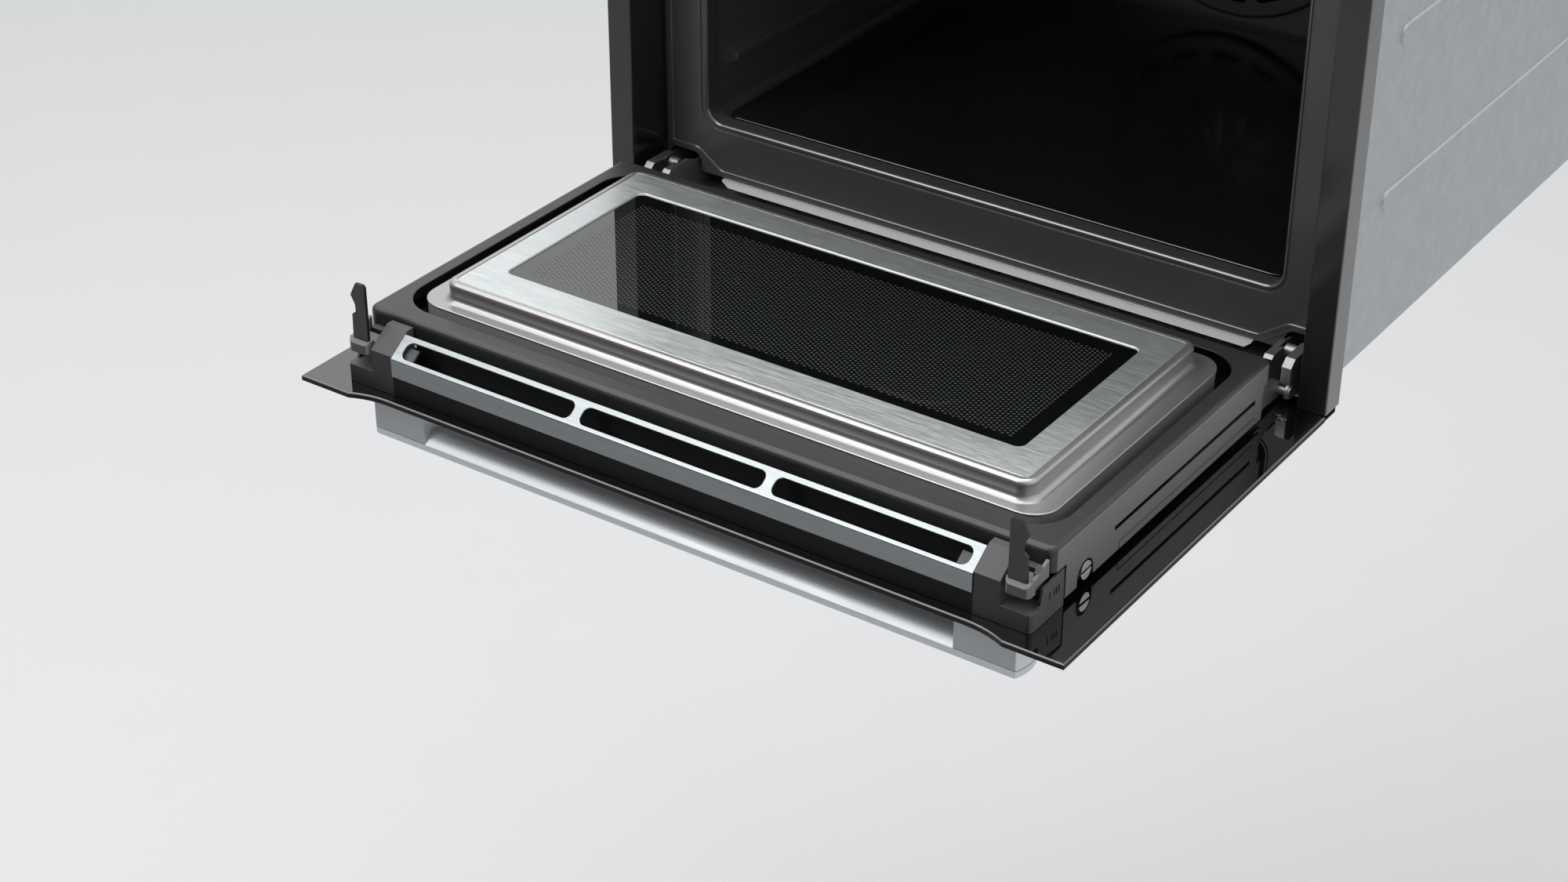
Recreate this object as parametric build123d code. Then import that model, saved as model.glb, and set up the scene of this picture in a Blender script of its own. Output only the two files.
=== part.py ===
from build123d import *
import math
import os

# Built-in compact microwave oven with a drop-down door, modelled with the door open. Millimetres.
# X runs to the right, Y into the cabinet and Z up. The origin is on the underside of the casing,
# in the middle of its width and in the plane of the cabinet's front edge.

# Overall sizes
FRONT_WIDTH = 594
FRONT_HEIGHT = 455
CASING_HALF = 278.2
CASING_TOP = 444
CASING_REAR = 526
SHEET = 1.2
GLASS = 4
GLASS_BEVEL = 0.8

# Fronts: side trims, front frame of the cavity and control fascia
TRIM_FRONT = -20
TRIM_INNER = 276
TRIM_SPAN = (0.4, 357.5)
TRIM_WALL = 1
FRAME_FACE = 22
FRAME_BACK = 24
FRAME_HALF = 275.8
FRAME_SPAN = (16, 358)
OPENING_HALF = 237.5
OPENING_SPAN = (59.5, 288)
OPENING_CORNER = 12
BEAD_SIDE = 271.6
BEAD_ARCH = 33.8
BEAD_BOTTOM = 19
BEAD_HALF = 2.8
FASCIA_BOTTOM = 359.5
FASCIA_FACE = -30
FIXING_X = 287
FIXING_Z = 335
FIXING_HOLE = 2.25
STRIP_HALF = 222

# Casing floor and back panel
FLOOR_HALF = 277
FLOOR_LIP = -6
SCREW_X = 262
SCREW_LEVELS = (22, 230, 432)
SCREW_SHANK = 2.1
INLET_X = (188, 240)
INLET_Z = (40, 76)

# Cavity
CAVITY_HALF = 241
CAVITY_SPAN = (56, 292)
CAVITY_REAR = 414
CAVITY_FLANGE = 243.6
SHELF_LEVELS = (101, 155, 209)
SHELF_RUN = (54, 392)
SHELF_DEPTH = 8
FLOOR_PLATE = 4
FAN_Z = 178
FAN_POCKET = 100
FAN_POCKET_DEPTH = 38
STIRRER_Y = 210
STIRRER_WELL = 96
STIRRER_WELL_DEPTH = 20
GUIDE_MOUTH = 30
LAMP_Y = 320
LAMP_Z = 250
LAMP_LENS = 17.9
MAGNETRON_Y = 486
BLOWER_X = -130
BLOWER_Y = 330
SPINDLE = 2.5

# Door, with Y counted from its free edge and Z from the inner face of the front glass
DOOR_EDGE = -365
DOOR_LENGTH = 344.8
DOOR_HALF = 266.6
DOOR_TOP = 46.3
DOOR_RUN = (38, 320)
SCOOP_OUTER = 255
SCOOP_INNER = 226
SCOOP_DEPTH = 6.5
RAIL_HALF = 226
RAIL_FACE = 13
RAIL_BOTTOM = 15.5
RAIL_BEND = 29
RAIL_BACK = (31.2, 41.8)
RAIL_WALL = 1.6
RAIL_SLOPE = 19.6
SLOT_PITCH = 149.3
SLOT_LENGTH = 141.6
SLOT_WIDTH = 12.8
SLOT_CORNER = 5
SLOT_MIDDLE = 9.4
CAP_INNER = 226.2
CAP_POCKET = 244.3
CAP_OUTER = 266.2
CAP_LEDGE = 13
BRIM_HALF = 245.3
BRIM_RUN = (61.6, 297)
BRIM_TOP = 47
PANEL_HALF = 229
PANEL_RUN = (72.5, 287.5)
PANEL_TOP = 61
WINDOW_HALF = 202.7
WINDOW_RUN = (106, 258)
HANDLE_HALF = 253
HANDLE_POST = 209.3
HANDLE_RUN = (22, 50)
HANDLE_INNER = -36.2
HANDLE_RIM = 5.8
HANDLE_CROWN = 7.4
HANDLE_BULGE = 3.2
HANDLE_SCREW = (220, 36)

# Hinges: the axis lies along X
HINGE_Y = -17.5
HINGE_Z = 8.5
HINGE_PIN = 3
HINGE_KNUCKLE = 5.4
HINGE_REAR = 76
HINGE_INNER_PLATE = (246.5, 248.5)
HINGE_OUTER_PLATE = (266.8, 268.8)
HINGE_TONGUE = (253.8, 261.2)

# Latches: each lever turns about an axis along Y
LATCH_X = 254.6
LATCH_Z = 28.8
LATCH_PIN = 2
LATCH_SLOT_X = (243.5, 266)
LATCH_SLOT_Z = (334.5, 348)

# Control ring on the fascia
DIAL_Z = 407
DIAL_BORE = 20
DIAL_RIM = 27
DISPLAY_WINDOW = ((60, 172), (382, 432))

RUNNING_GAP = 0.05


def block(x, y, z):
    """A box between two limits along each axis."""
    sizes = [high - low for low, high in (x, y, z)]
    middle = [(low + high) / 2 for low, high in (x, y, z)]
    return Pos(*middle) * Box(*sizes)


def grown(limits, amount):
    """A pair of limits moved apart."""
    return limits[0] - amount, limits[1] + amount


def on_side(side, limits):
    """Limits along X of the right half, taken to the right (1) or the left (-1)."""
    return tuple(sorted(side * limit for limit in limits))


def plate(x, y, z, corner):
    """A lying plate whose corners are rounded when seen from above."""
    outline = RectangleRounded(x[1] - x[0], y[1] - y[0], corner)
    return Pos((x[0] + x[1]) / 2, (y[0] + y[1]) / 2, z[0]) * extrude(outline, z[1] - z[0])


def along_x(outline, x):
    """An outline drawn in Y and Z, run along X."""
    return extrude(Plane.YZ.offset(x[0]) * outline, x[1] - x[0])


def along_y(outline, y):
    """An outline drawn in X and Z, run along Y."""
    plane = Plane(origin=(0, y[1], 0), x_dir=(1, 0, 0), z_dir=(0, -1, 0))
    return extrude(plane * outline, y[1] - y[0])


def upright(x, y, z, corner):
    """A standing plate whose corners are rounded when seen from the front."""
    outline = RectangleRounded(x[1] - x[0], z[1] - z[0], corner)
    return along_y(Pos((x[0] + x[1]) / 2, (z[0] + z[1]) / 2) * outline, y)


def polygon(*points):
    """A face inside straight edges."""
    return make_face(Polyline(*points, close=True))


def rod_x(radius, x, y, z):
    """A round bar along X."""
    return Pos((x[0] + x[1]) / 2, y, z) * Rot(0, 90, 0) * Cylinder(radius, x[1] - x[0])


def rod_y(radius, x, y, z):
    """A round bar along Y."""
    return Pos(x, (y[0] + y[1]) / 2, z) * Rot(90, 0, 0) * Cylinder(radius, y[1] - y[0])


def rod_z(radius, x, y, z):
    """A round bar along Z."""
    return Pos(x, y, (z[0] + z[1]) / 2) * Cylinder(radius, z[1] - z[0])


def mirrored(part):
    """The other hand of a piece."""
    return mirror(part, Plane.YZ)


def both_sides(part):
    """A piece and its other hand, as separate solids."""
    return Compound([*part.solids(), *mirrored(part).solids()])


def on_door(part):
    """A door piece moved from the door's own measures into the oven's frame."""
    return Pos(0, DOOR_EDGE, 0) * part


def around_y(part, count, z):
    """A piece repeated evenly about an axis along Y."""
    pivot = Pos(0, 0, z)
    return [pivot * Rot(0, 360 * n / count, 0) * pivot.inverse() * part for n in range(count)]


def soft_tray(x, y, z, corner, top):
    """A block with rounded upright corners and a rounded top edge."""
    tray = plate(x, y, z, corner)
    return tray.fillet(top, tray.faces().sort_by(Axis.Z)[-1].edges())


# Door pieces


def door_glass():
    """Front pane with the shallow scoop along its free edge that clears the fingers."""
    half = FRONT_WIDTH / 2
    shoulder = SCOOP_OUTER - SCOOP_INNER
    left = [
        (-SCOOP_OUTER, 0),
        (-SCOOP_OUTER + shoulder * 0.28, SCOOP_DEPTH * 0.6),
        (-SCOOP_OUTER + shoulder * 0.6, SCOOP_DEPTH),
        (-SCOOP_INNER, SCOOP_DEPTH),
    ]
    right = [(-x, y) for x, y in reversed(left)]
    outline = make_face([
        Line((-half, DOOR_LENGTH), (-half, 0)),
        Line((-half, 0), left[0]),
        Bezier(*left),
        Line(left[-1], right[0]),
        Bezier(*right),
        Line(right[-1], (half, 0)),
        Line((half, 0), (half, DOOR_LENGTH)),
        Line((half, DOOR_LENGTH), (-half, DOOR_LENGTH)),
    ])
    pane = extrude(outline, -GLASS)
    pane = pane.chamfer(GLASS_BEVEL, None, pane.faces().sort_by(Axis.Z)[-1].edges())
    for side in (-1, 1):
        pane -= rod_z(2.7, side * HANDLE_SCREW[0], HANDLE_SCREW[1], (-GLASS - 1, 1))
    return pane


def door_frame():
    """Painted steel tray of the door with its side slots and screw recesses."""
    wide = (-DOOR_HALF, DOOR_HALF)
    tray = soft_tray(wide, DOOR_RUN, (5, DOOR_TOP), 6, 4)
    tray -= soft_tray(grown(wide, -SHEET), grown(DOOR_RUN, -SHEET), (0, DOOR_TOP - SHEET), 4.8, 2.8)
    tray -= plate((-254.5, 254.5), (52.4, 306.2), (40, 50), 28)
    for side in (1, -1):
        wall = on_side(side, (262, 270))
        tray -= block(wall, (112, 299), (21.3, 24.6))
        seam = on_side(side, (DOOR_HALF - 0.6, 270))
        tray -= block(seam, (118.5, 300), (9.9, 10.7)) + block(seam, (118.5, 119.3), (4, 10))
        tray -= rod_x(9.7, wall, 77, 10)
        tray -= block(wall, (67.3, 86.7), (0, 10))
        tray -= block(on_side(side, (225, 270)), (30, 53), (0, 29.3))
        tray -= block(on_side(side, (249.5, 270)), (310, 330), (0, 29.3))
    return tray


def vent_rail():
    """Bent brushed rail along the free edge, with three long air slots in its slope."""
    rise = RAIL_BACK[1] - RAIL_BEND
    run = RAIL_BACK[0] - RAIL_FACE
    face = Plane(origin=(0, RAIL_FACE, RAIL_BEND), x_dir=(1, 0, 0), z_dir=(0, -rise, run))
    rail = block((-RAIL_HALF, RAIL_HALF), (RAIL_FACE, RAIL_FACE + RAIL_WALL), (RAIL_BOTTOM, RAIL_BEND))
    rail += face * block((-RAIL_HALF, RAIL_HALF), (0, RAIL_SLOPE), (-RAIL_WALL, 0))
    bend = rail.edges().filter_by(Axis.X).sort_by_distance((0, RAIL_FACE, RAIL_BEND))[0]
    rail = rail.fillet(1.8, [bend])
    for n in (-1, 0, 1):
        slot = Pos(n * SLOT_PITCH, SLOT_MIDDLE) * RectangleRounded(SLOT_LENGTH, SLOT_WIDTH, SLOT_CORNER)
        rail -= extrude(face * slot, 6, both=True)
    slope = rail.faces().filter_by(lambda f: f.normal_at().dot(face.z_dir) > 0.99).sort_by(SortBy.AREA)[-1]
    return rail.fillet(0.6, [edge for wire in slope.inner_wires() for edge in wire.edges()])


def air_duct():
    """Black channel under the rail that leads the cooling air out."""
    outline = polygon((14.5, 0.3), (14.5, 15.4), (37.4, 15.4), (37.4, 13), (17, 13), (17, 0.3))
    return along_x(outline, (-RAIL_HALF, RAIL_HALF))


def end_cap():
    """Right end cap: carries on the rail's slope and holds the latch in an open pocket."""
    front, rear = 14, 37.4
    tower = along_x(polygon(
        (front, 0.3), (front, RAIL_BEND + 0.7), RAIL_BACK, (rear, RAIL_BACK[1]), (rear, 0.3),
    ), (CAP_INNER, CAP_POCKET))
    ledge = block((CAP_POCKET, CAP_OUTER), (front, 52.4), (0.3, CAP_LEDGE))
    ledge = ledge.fillet(3, ledge.edges().filter_by(Axis.Z).sort_by(Axis.Y)[:2].sort_by(Axis.X)[-1:])
    wall = along_x(polygon(
        (22, CAP_LEDGE - 1), (24.2, 15), (26.6, 25.4), (51.6, 27.6), (52.4, CAP_LEDGE - 1),
    ), (CAP_OUTER - 1.6, CAP_OUTER))
    lug = block((250, 259.5), (31.8, rear), (CAP_LEDGE - 1, 34.5))
    tongue = along_x(polygon((16, 26.4), (26, 33.4), (27, 32), (17, 25)), (211.5, CAP_INNER + 1))
    cap = tower + ledge + wall + lug + tongue
    for y in (35.3, 40.6, 43.3, 46):
        cap -= block((CAP_OUTER - 1, CAP_OUTER + 1), (y - 0.6, y + 0.6), (13.4, 19))
    return cap - rod_y(LATCH_PIN + 0.02, LATCH_X, (31, rear + 1), LATCH_Z)


def latch_pins():
    """Pins that the two latch levers turn on."""
    return both_sides(rod_y(LATCH_PIN, LATCH_X, (19.5, 37.2), LATCH_Z))


def latch_lever():
    """Right latch lever: rounded nose, arm, spring seat, cam cheek and the slit for the hook."""
    inner, outer, low, rear = 246.8, 264.2, 24.2, 31
    nose = along_x(polygon(
        (13.2, low), (13.2, 30.8), (16.5, 33.6), (19.8, 33.6), (21.2, 31.6), (21.2, low),
    ), (inner, outer))
    lever = nose.fillet(4, nose.edges().filter_by(Axis.Z).sort_by(Axis.Y)[:2])
    lever += block((inner, outer - 2), (21, rear), (low, 31.6))
    seat = polygon((24.5, 31), (24.5, 36), (28, 40.2), (rear, 38.4), (rear, 31))
    cheek = polygon((19, 31), (19.5, 34), (36.2, 40.4), (36.6, 28.4), (24, 28.4))
    lever += along_x(seat, (260.6, outer - 1)) + along_x(cheek, (outer - 2.2, outer))
    lever -= block((248, 261.2), (16 - RUNNING_GAP, 18.5 + RUNNING_GAP), (31, 40))
    return lever - rod_y(LATCH_PIN + RUNNING_GAP, LATCH_X, (19, 33), LATCH_Z)


def latch_hook():
    """Right hook plate: sloped nose, outward barb, waist and shank."""
    outline = polygon(
        (248.2, 31), (248.2, 73.6), (249.8, 75.2), (255.8, 75.2), (260.7, 65.6), (257.2, 59),
        (257.2, 53.6), (260.4, 51.2), (261, 31),
    )
    return along_y(outline, (16, 18.5))


def inner_panel():
    """Stainless pressing that faces the cavity: brim, cove, raised panel and window."""
    panel = soft_tray((-BRIM_HALF, BRIM_HALF), BRIM_RUN, (BRIM_TOP - 1, BRIM_TOP), 19, 0.8)
    panel += plate((-PANEL_HALF, PANEL_HALF), PANEL_RUN, (BRIM_TOP - 1, PANEL_TOP), 10)
    foot = panel.edges().filter_by_position(Axis.Z, BRIM_TOP - 0.01, BRIM_TOP + 0.01)
    foot = foot.filter_by(lambda e: abs(e.center().X) < PANEL_HALF + 1)
    foot = foot.filter_by(lambda e: PANEL_RUN[0] - 1 < e.center().Y < PANEL_RUN[1] + 1)
    panel = panel.fillet(5, foot)
    panel = panel.fillet(3, panel.faces().sort_by(Axis.Z)[-1].edges())
    under = PANEL_TOP - 1
    panel -= plate((-PANEL_HALF + 1, PANEL_HALF - 1), (PANEL_RUN[0] + 1, PANEL_RUN[1] - 1), (40, under), 9)
    seam = plate((-223.8, 223.8), (77.7, 282.3), (PANEL_TOP - 0.4, PANEL_TOP + 1), 5)
    seam -= plate((-223, 223), (78.5, 281.5), (PANEL_TOP - 1, PANEL_TOP + 2), 4.2)
    panel -= seam
    return panel - plate((-WINDOW_HALF, WINDOW_HALF), WINDOW_RUN, (50, 70), 6)


def choke_ring():
    """Dark moulded ring under the brim that stops the microwaves at the door gap."""
    ring = plate((-244.5, 244.5), (62.4, 296.2), (30, BRIM_TOP - 1), 18)
    return ring - plate((-230, 230), (71.5, 288.5), (29, 50), 10)


def window_glass():
    """Inner pane behind the window."""
    return plate((-221, 221), (80.5, 279.5), (PANEL_TOP - 5, PANEL_TOP - 1), 7)


def mesh_screen():
    """Shallow sheet tray that carries the perforated screen, hung under the inner pane."""
    rim = (PANEL_TOP - 7.8, PANEL_TOP - 5)
    screen = plate((-219, 219), (82, 278), rim, 6)
    return screen - plate((-218, 218), (83, 277), (rim[0] + 0.8, rim[1] + 1), 5)


def door_tray():
    """Steel pan inside the door that carries the ring, the hinges and the side screws."""
    inner = DOOR_HALF - SHEET
    tray = plate((-inner, inner), (54, 318.6), (28.8, 30), 5.5)
    tray -= plate((-WINDOW_HALF, WINDOW_HALF), WINDOW_RUN, (20, 40), 6)
    for side in (1, -1):
        flange = sorted((side * (inner - 1.6), side * inner))
        tray += block(flange, (60, 312), (8, 29)) - block(flange, (106, 304), (18, 28))
        tray -= rod_x(3, sorted((side * 255, side * 270)), 78.5, 11.5)
    return tray


def door_screws():
    """Slotted screws in the sides of the door."""
    screw = rod_x(7, (265.5, 266.9), 78.5, 11.5) - block((266.2, 268), (70, 87), (10.6, 12.4))
    screw += rod_x(2.9, (255, 266), 78.5, 11.5)
    return both_sides(screw)


def handle_end(inset):
    """Plan of the handle's right end, with its bowed outer side, drawn in by an inset."""
    near, far = HANDLE_RUN
    bow = (HANDLE_HALF + HANDLE_BULGE, (near + far) / 2)
    plan = make_face([
        Line((HANDLE_POST, far), (HANDLE_POST, near)),
        Line((HANDLE_POST, near), (HANDLE_HALF, near)),
        ThreePointArc((HANDLE_HALF, near), bow, (HANDLE_HALF, far)),
        Line((HANDLE_HALF, far), (HANDLE_POST, far)),
    ])
    plan = fillet(plan.vertices().sort_by(Axis.X)[-2:], 2.4)
    return offset(plan, -inset, kind=Kind.INTERSECTION) if inset else plan


def handle_bar():
    """Bar of the handle: crowned towards the glass between its posts, with a soft outer edge."""
    near, far = HANDLE_RUN
    end = Pos(0, 0, HANDLE_INNER - HANDLE_RIM) * extrude(handle_end(0), HANDLE_RIM)
    straight = (-HANDLE_POST, HANDLE_POST)
    bar = block(straight, HANDLE_RUN, (HANDLE_INNER - HANDLE_RIM, HANDLE_INNER)) + end + mirrored(end)
    bar = bar.fillet(2, bar.faces().sort_by(Axis.Z)[0].edges())
    ends = (near, HANDLE_INNER), (far, HANDLE_INNER)
    top = ((near + far) / 2, HANDLE_INNER + HANDLE_CROWN)
    return bar + along_x(make_face([ThreePointArc(ends[0], top, ends[1]), Line(*ends)]), straight)


def handle_post():
    """Right end block of the handle, from the glass to the bar, with a shadow groove at its foot."""
    groove = 0.7
    post = Pos(0, 0, HANDLE_INNER + groove) * extrude(handle_end(0), -GLASS - HANDLE_INNER - groove)
    post += Pos(0, 0, HANDLE_INNER) * extrude(handle_end(groove), groove + 0.1)
    return post - rod_z(2.55, *HANDLE_SCREW, (-20, 0))


def handle_screws():
    """Screws that hold the handle through the front pane."""
    screw = rod_z(2.5, *HANDLE_SCREW, (-19, 0.5)) + rod_z(4.6, *HANDLE_SCREW, (0, 3))
    return both_sides(screw)


def hinge_channel():
    """Right hinge body inside the door, with the tongue that reaches the pin."""
    channel = block((250.5, 263.4), (190, 318), (6, 28.8)) - block((252, 262), (180, 330), (0, 27.3))
    pin_y = HINGE_Y - DOOR_EDGE
    tongue = along_x(polygon(
        (280, 5), (280, 27.5), (316, 27.5), (332, 16),
        (pin_y, HINGE_Z + HINGE_KNUCKLE), (pin_y, HINGE_Z - HINGE_KNUCKLE), (330, 4),
    ), HINGE_TONGUE)
    tongue += rod_x(HINGE_KNUCKLE, HINGE_TONGUE, pin_y, HINGE_Z)
    return channel + tongue - rod_x(HINGE_PIN + RUNNING_GAP, (240, 280), pin_y, HINGE_Z)


# Front pieces


def front_frame():
    """Enamelled pressing round the cavity, with its rolled rim, bead, hinge arches and latch slots."""
    mouth = (-OPENING_HALF, OPENING_HALF)
    lip = 1.6
    frame = block((-FRAME_HALF, FRAME_HALF), (FRAME_FACE, FRAME_BACK), FRAME_SPAN)
    frame += upright(
        grown(mouth, lip), (FRAME_BACK, FRAME_BACK + 12), grown(OPENING_SPAN, lip), OPENING_CORNER + lip,
    )
    frame -= upright(mouth, (0, 60), OPENING_SPAN, OPENING_CORNER)
    frame = frame.fillet(2.6, frame.faces().sort_by(Axis.Y)[0].inner_wires()[0].edges())
    groove = upright(
        grown(mouth, 5.6), (FRAME_FACE - 1, FRAME_FACE + 0.8), grown(OPENING_SPAN, 5.6), OPENING_CORNER + 5.6,
    )
    groove -= upright(grown(mouth, 2.8), (0, 60), grown(OPENING_SPAN, 2.8), OPENING_CORNER + 2.8)
    frame -= groove
    top = FRAME_SPAN[1] - 5
    right = [(226, BEAD_BOTTOM), (247, BEAD_ARCH), (BEAD_SIDE, BEAD_ARCH), (BEAD_SIDE, top)]
    bead = polygon(*right, *[(-x, z) for x, z in reversed(right)])
    bead = fillet(bead.vertices().filter_by(lambda v: abs(v.X) > 250), BEAD_HALF + 0.6)
    bead = fillet(bead.vertices().filter_by(lambda v: abs(v.X) < 250 and v.Y < BEAD_ARCH + 1), 10)
    ridge = along_y(offset(bead, BEAD_HALF) - offset(bead, -BEAD_HALF), (FRAME_FACE - 1.2, FRAME_FACE + 0.5))
    frame += ridge.fillet(1, ridge.faces().sort_by(Axis.Y)[0].edges())
    for hand in (1, -1):
        frame -= upright(on_side(hand, (244, 273.5)), (0, 60), (-20, 30.8), 8)
        frame -= upright(on_side(hand, LATCH_SLOT_X), (0, 60), LATCH_SLOT_Z, 2)
    return frame


def threshold_strip():
    """Bright folded strip under the front frame, between the hinges."""
    outline = polygon((18, 10.5), (18, 16), (30, 16), (30, 14.8), (19.2, 14.8), (19.2, 10.5))
    strip = along_x(outline, (-STRIP_HALF, STRIP_HALF))
    slant = along_y(polygon((STRIP_HALF, 15), (STRIP_HALF + 1, 9), (STRIP_HALF - 7, 9)), (17, 21))
    return strip - slant - mirrored(slant)


def trim():
    """Right side trim: a channel that covers the cabinet's edge and lines the door recess."""
    outer = FRONT_WIDTH / 2
    channel = block((TRIM_INNER, outer), (TRIM_FRONT, TRIM_FRONT + 1.6), TRIM_SPAN)
    channel += block((TRIM_INNER, TRIM_INNER + TRIM_WALL), (TRIM_FRONT, FRAME_BACK), TRIM_SPAN)
    channel += block((outer - 1.4, outer), (TRIM_FRONT, 0), TRIM_SPAN)
    channel += block((281, outer), (-1.5, 0), TRIM_SPAN)
    channel = channel.fillet(1, channel.edges().filter_by(Axis.Z).sort_by(Axis.Y)[:2])
    return channel - rod_y(FIXING_HOLE, FIXING_X, (TRIM_FRONT - 1, 1), FIXING_Z)


def fascia_glass():
    """Control panel pane, flush with the closed door."""
    half = FRONT_WIDTH / 2
    pane = block((-half, half), (FASCIA_FACE, FASCIA_FACE + GLASS), (FASCIA_BOTTOM, FRONT_HEIGHT))
    pane = pane.chamfer(0.5, None, pane.faces().sort_by(Axis.Y)[0].edges())
    return pane - rod_y(6, 0, (FASCIA_FACE - 1, 0), DIAL_Z)


def fascia_carrier():
    """Moulded tray behind the control pane, open at the back, with stiffening ribs."""
    back = FASCIA_FACE + GLASS
    span = (FASCIA_BOTTOM + 1.5, FRONT_HEIGHT - 1.5)
    tray = block((-294, 294), (back, 0), span)
    tray -= block((-291.5, 291.5), (back + 3, 5), grown(span, -2.5))
    for x in (-268, -180, 180, 268):
        tray += block((x - 1, x + 1), (back + 2, 0), grown(span, -2))
    wide, high = DISPLAY_WINDOW
    tray -= block(wide, (back - 1, back + 4), high)
    return tray - rod_y(7, 0, (back - 1, back + 5), DIAL_Z)


def display_module():
    """Display block seated in the carrier's window."""
    back = FASCIA_FACE + GLASS
    wide, high = DISPLAY_WINDOW
    screen = block(grown(wide, -0.4), (back, back + 3), grown(high, -0.4))
    return screen + block(grown(wide, -4), (back + 2, back + 7), grown(high, -4))


def dial_hub():
    """Fixed centre of the control ring, stemmed through the pane."""
    hub = rod_y(DIAL_BORE - RUNNING_GAP, 0, (FASCIA_FACE - 5, FASCIA_FACE), DIAL_Z)
    hub = hub.chamfer(0.6, None, hub.faces().sort_by(Axis.Y)[0].edges())
    return hub + rod_y(5.8, 0, (FASCIA_FACE - 1, FASCIA_FACE + GLASS + 6), DIAL_Z)


def control_ring():
    """Turning ring of the control, with finger grooves round its rim."""
    ring = rod_y(DIAL_RIM, 0, (FASCIA_FACE - 6, FASCIA_FACE - 0.3), DIAL_Z)
    ring = ring.chamfer(0.9, None, ring.faces().sort_by(Axis.Y)[0].edges())
    ring -= rod_y(DIAL_BORE, 0, (FASCIA_FACE - 9, FASCIA_FACE + 1), DIAL_Z)
    groove = rod_y(1.1, DIAL_RIM + 0.5, (FASCIA_FACE - 9, FASCIA_FACE + 1), DIAL_Z)
    for cut in around_y(groove, 24, DIAL_Z):
        ring -= cut
    return ring


def control_board():
    """Circuit board on posts behind the control pane."""
    board = block((-150, 50), (-14, -12.4), (372, 442))
    for x in (-140, 40):
        for z in (378, 436):
            board += rod_y(3, x, (-23, -13), z)
    for n in range(4):
        board += block((-130 + 38 * n, -112 + 38 * n), (-12.6, -5), (384, 408))
    board += rod_y(9, -60, (-12.6, -3), 426)
    return board


# Casing


def base_plate():
    """Casing floor with turned-up edges, pressed ribs and air slots."""
    rear = CASING_REAR - SHEET
    behind_trim = FRAME_BACK + 2
    floor = block((-FLOOR_HALF, FLOOR_HALF), (behind_trim, rear), (0, SHEET))
    floor += block((-FRAME_HALF, FRAME_HALF), (FLOOR_LIP, behind_trim), (0, SHEET))
    for side in (1, -1):
        floor += block(on_side(side, (FRAME_HALF, FLOOR_HALF)), (behind_trim, rear), (0, 12))
    for n in range(5):
        y = 120 + 82 * n
        rib = plate((-200, -70), (y - 5, y + 5), (SHEET - 0.2, SHEET + 2.5), 4.8)
        floor += rib + mirrored(rib)
    for n in range(9):
        x = -160 + 40 * n
        floor -= plate((x - 14, x + 14), (42, 48), (-1, 5), 2.9)
    return floor


def side_panel():
    """Right casing wall with front and rear flanges, pressed stiffeners and a bank of air slots."""
    inner, rear = CASING_HALF - SHEET, CASING_REAR - SHEET
    wall = block((inner, CASING_HALF), (0, rear), (0, CASING_TOP))
    wall += block((262, CASING_HALF), (0, SHEET), (FASCIA_BOTTOM + 3, CASING_TOP))
    wall += block((252, CASING_HALF), (rear - SHEET, rear), (14, CASING_TOP))
    for z in (110, 230):
        rib = Plane.YZ.offset(CASING_HALF - 0.2) * Pos(270, z) * SlotOverall(380, 16)
        wall += extrude(rib, 1.6, taper=30)
    for n in range(12):
        slot = Plane.YZ.offset(inner - 5) * Pos(330 + 13 * n, 390) * SlotOverall(46, 5, rotation=90)
        wall -= extrude(slot, 20)
    for z in SCREW_LEVELS:
        wall -= rod_y(SCREW_SHANK + RUNNING_GAP, SCREW_X, (rear - 5, rear + 5), z)
    return wall


def top_cover():
    """Casing lid with two banks of air slots and a pressed field."""
    sheet = (CASING_TOP, CASING_TOP + SHEET)
    lid = block((-CASING_HALF, CASING_HALF), (0, CASING_REAR - SHEET), sheet)
    field = Pos(0, 190, sheet[1] - 0.2) * RectangleRounded(400, 200, 30)
    lid += extrude(field, 2, taper=45)
    for x in (-130, 130):
        for n in range(10):
            y = 330 + 15 * n
            lid -= plate((x - 45, x + 45), (y, y + 5), grown(sheet, 5), 2.4)
    return lid


def rear_panel():
    """Casing back with louvred air outlets, a pressed fan dome and the inlet window."""
    back = block((-CASING_HALF, CASING_HALF), (CASING_REAR - SHEET, CASING_REAR), (0, CASING_TOP + SHEET))
    through = grown((CASING_REAR, CASING_REAR), 20)
    face = CASING_REAR - 0.2
    dome = Plane(origin=(0, face, FAN_Z), x_dir=(1, 0, 0), z_dir=(0, 1, 0)) * Circle(88)
    back += extrude(dome, 3, taper=45)
    for x in (-185, 185):
        wide = (x - 50, x + 50)
        for n in range(11):
            z = 130 + 20 * n
            back -= upright(wide, through, (z, z + 5), 2.4)
            hood = polygon((face, z + 6), (face + 3.2, z + 3), (face + 3.2, z + 2), (face, z + 5))
            back += along_x(hood, wide)
    back -= upright(grown(INLET_X, 0.4), through, grown(INLET_Z, 0.4), 1)
    for x in (-SCREW_X, SCREW_X):
        for z in SCREW_LEVELS:
            back -= rod_y(SCREW_SHANK + RUNNING_GAP, x, through, z)
    return back


def mains_inlet():
    """Terminal box set into the back panel, with the gland for the supply lead."""
    inside = CASING_REAR - SHEET
    box = block(INLET_X, (inside - 44, CASING_REAR + 4), INLET_Z)
    box += block(grown(INLET_X, 5), (inside - 3, inside), grown(INLET_Z, 5))
    return box - rod_y(6, sum(INLET_X) / 2, (inside - 24, CASING_REAR + 9), sum(INLET_Z) / 2)


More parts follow.
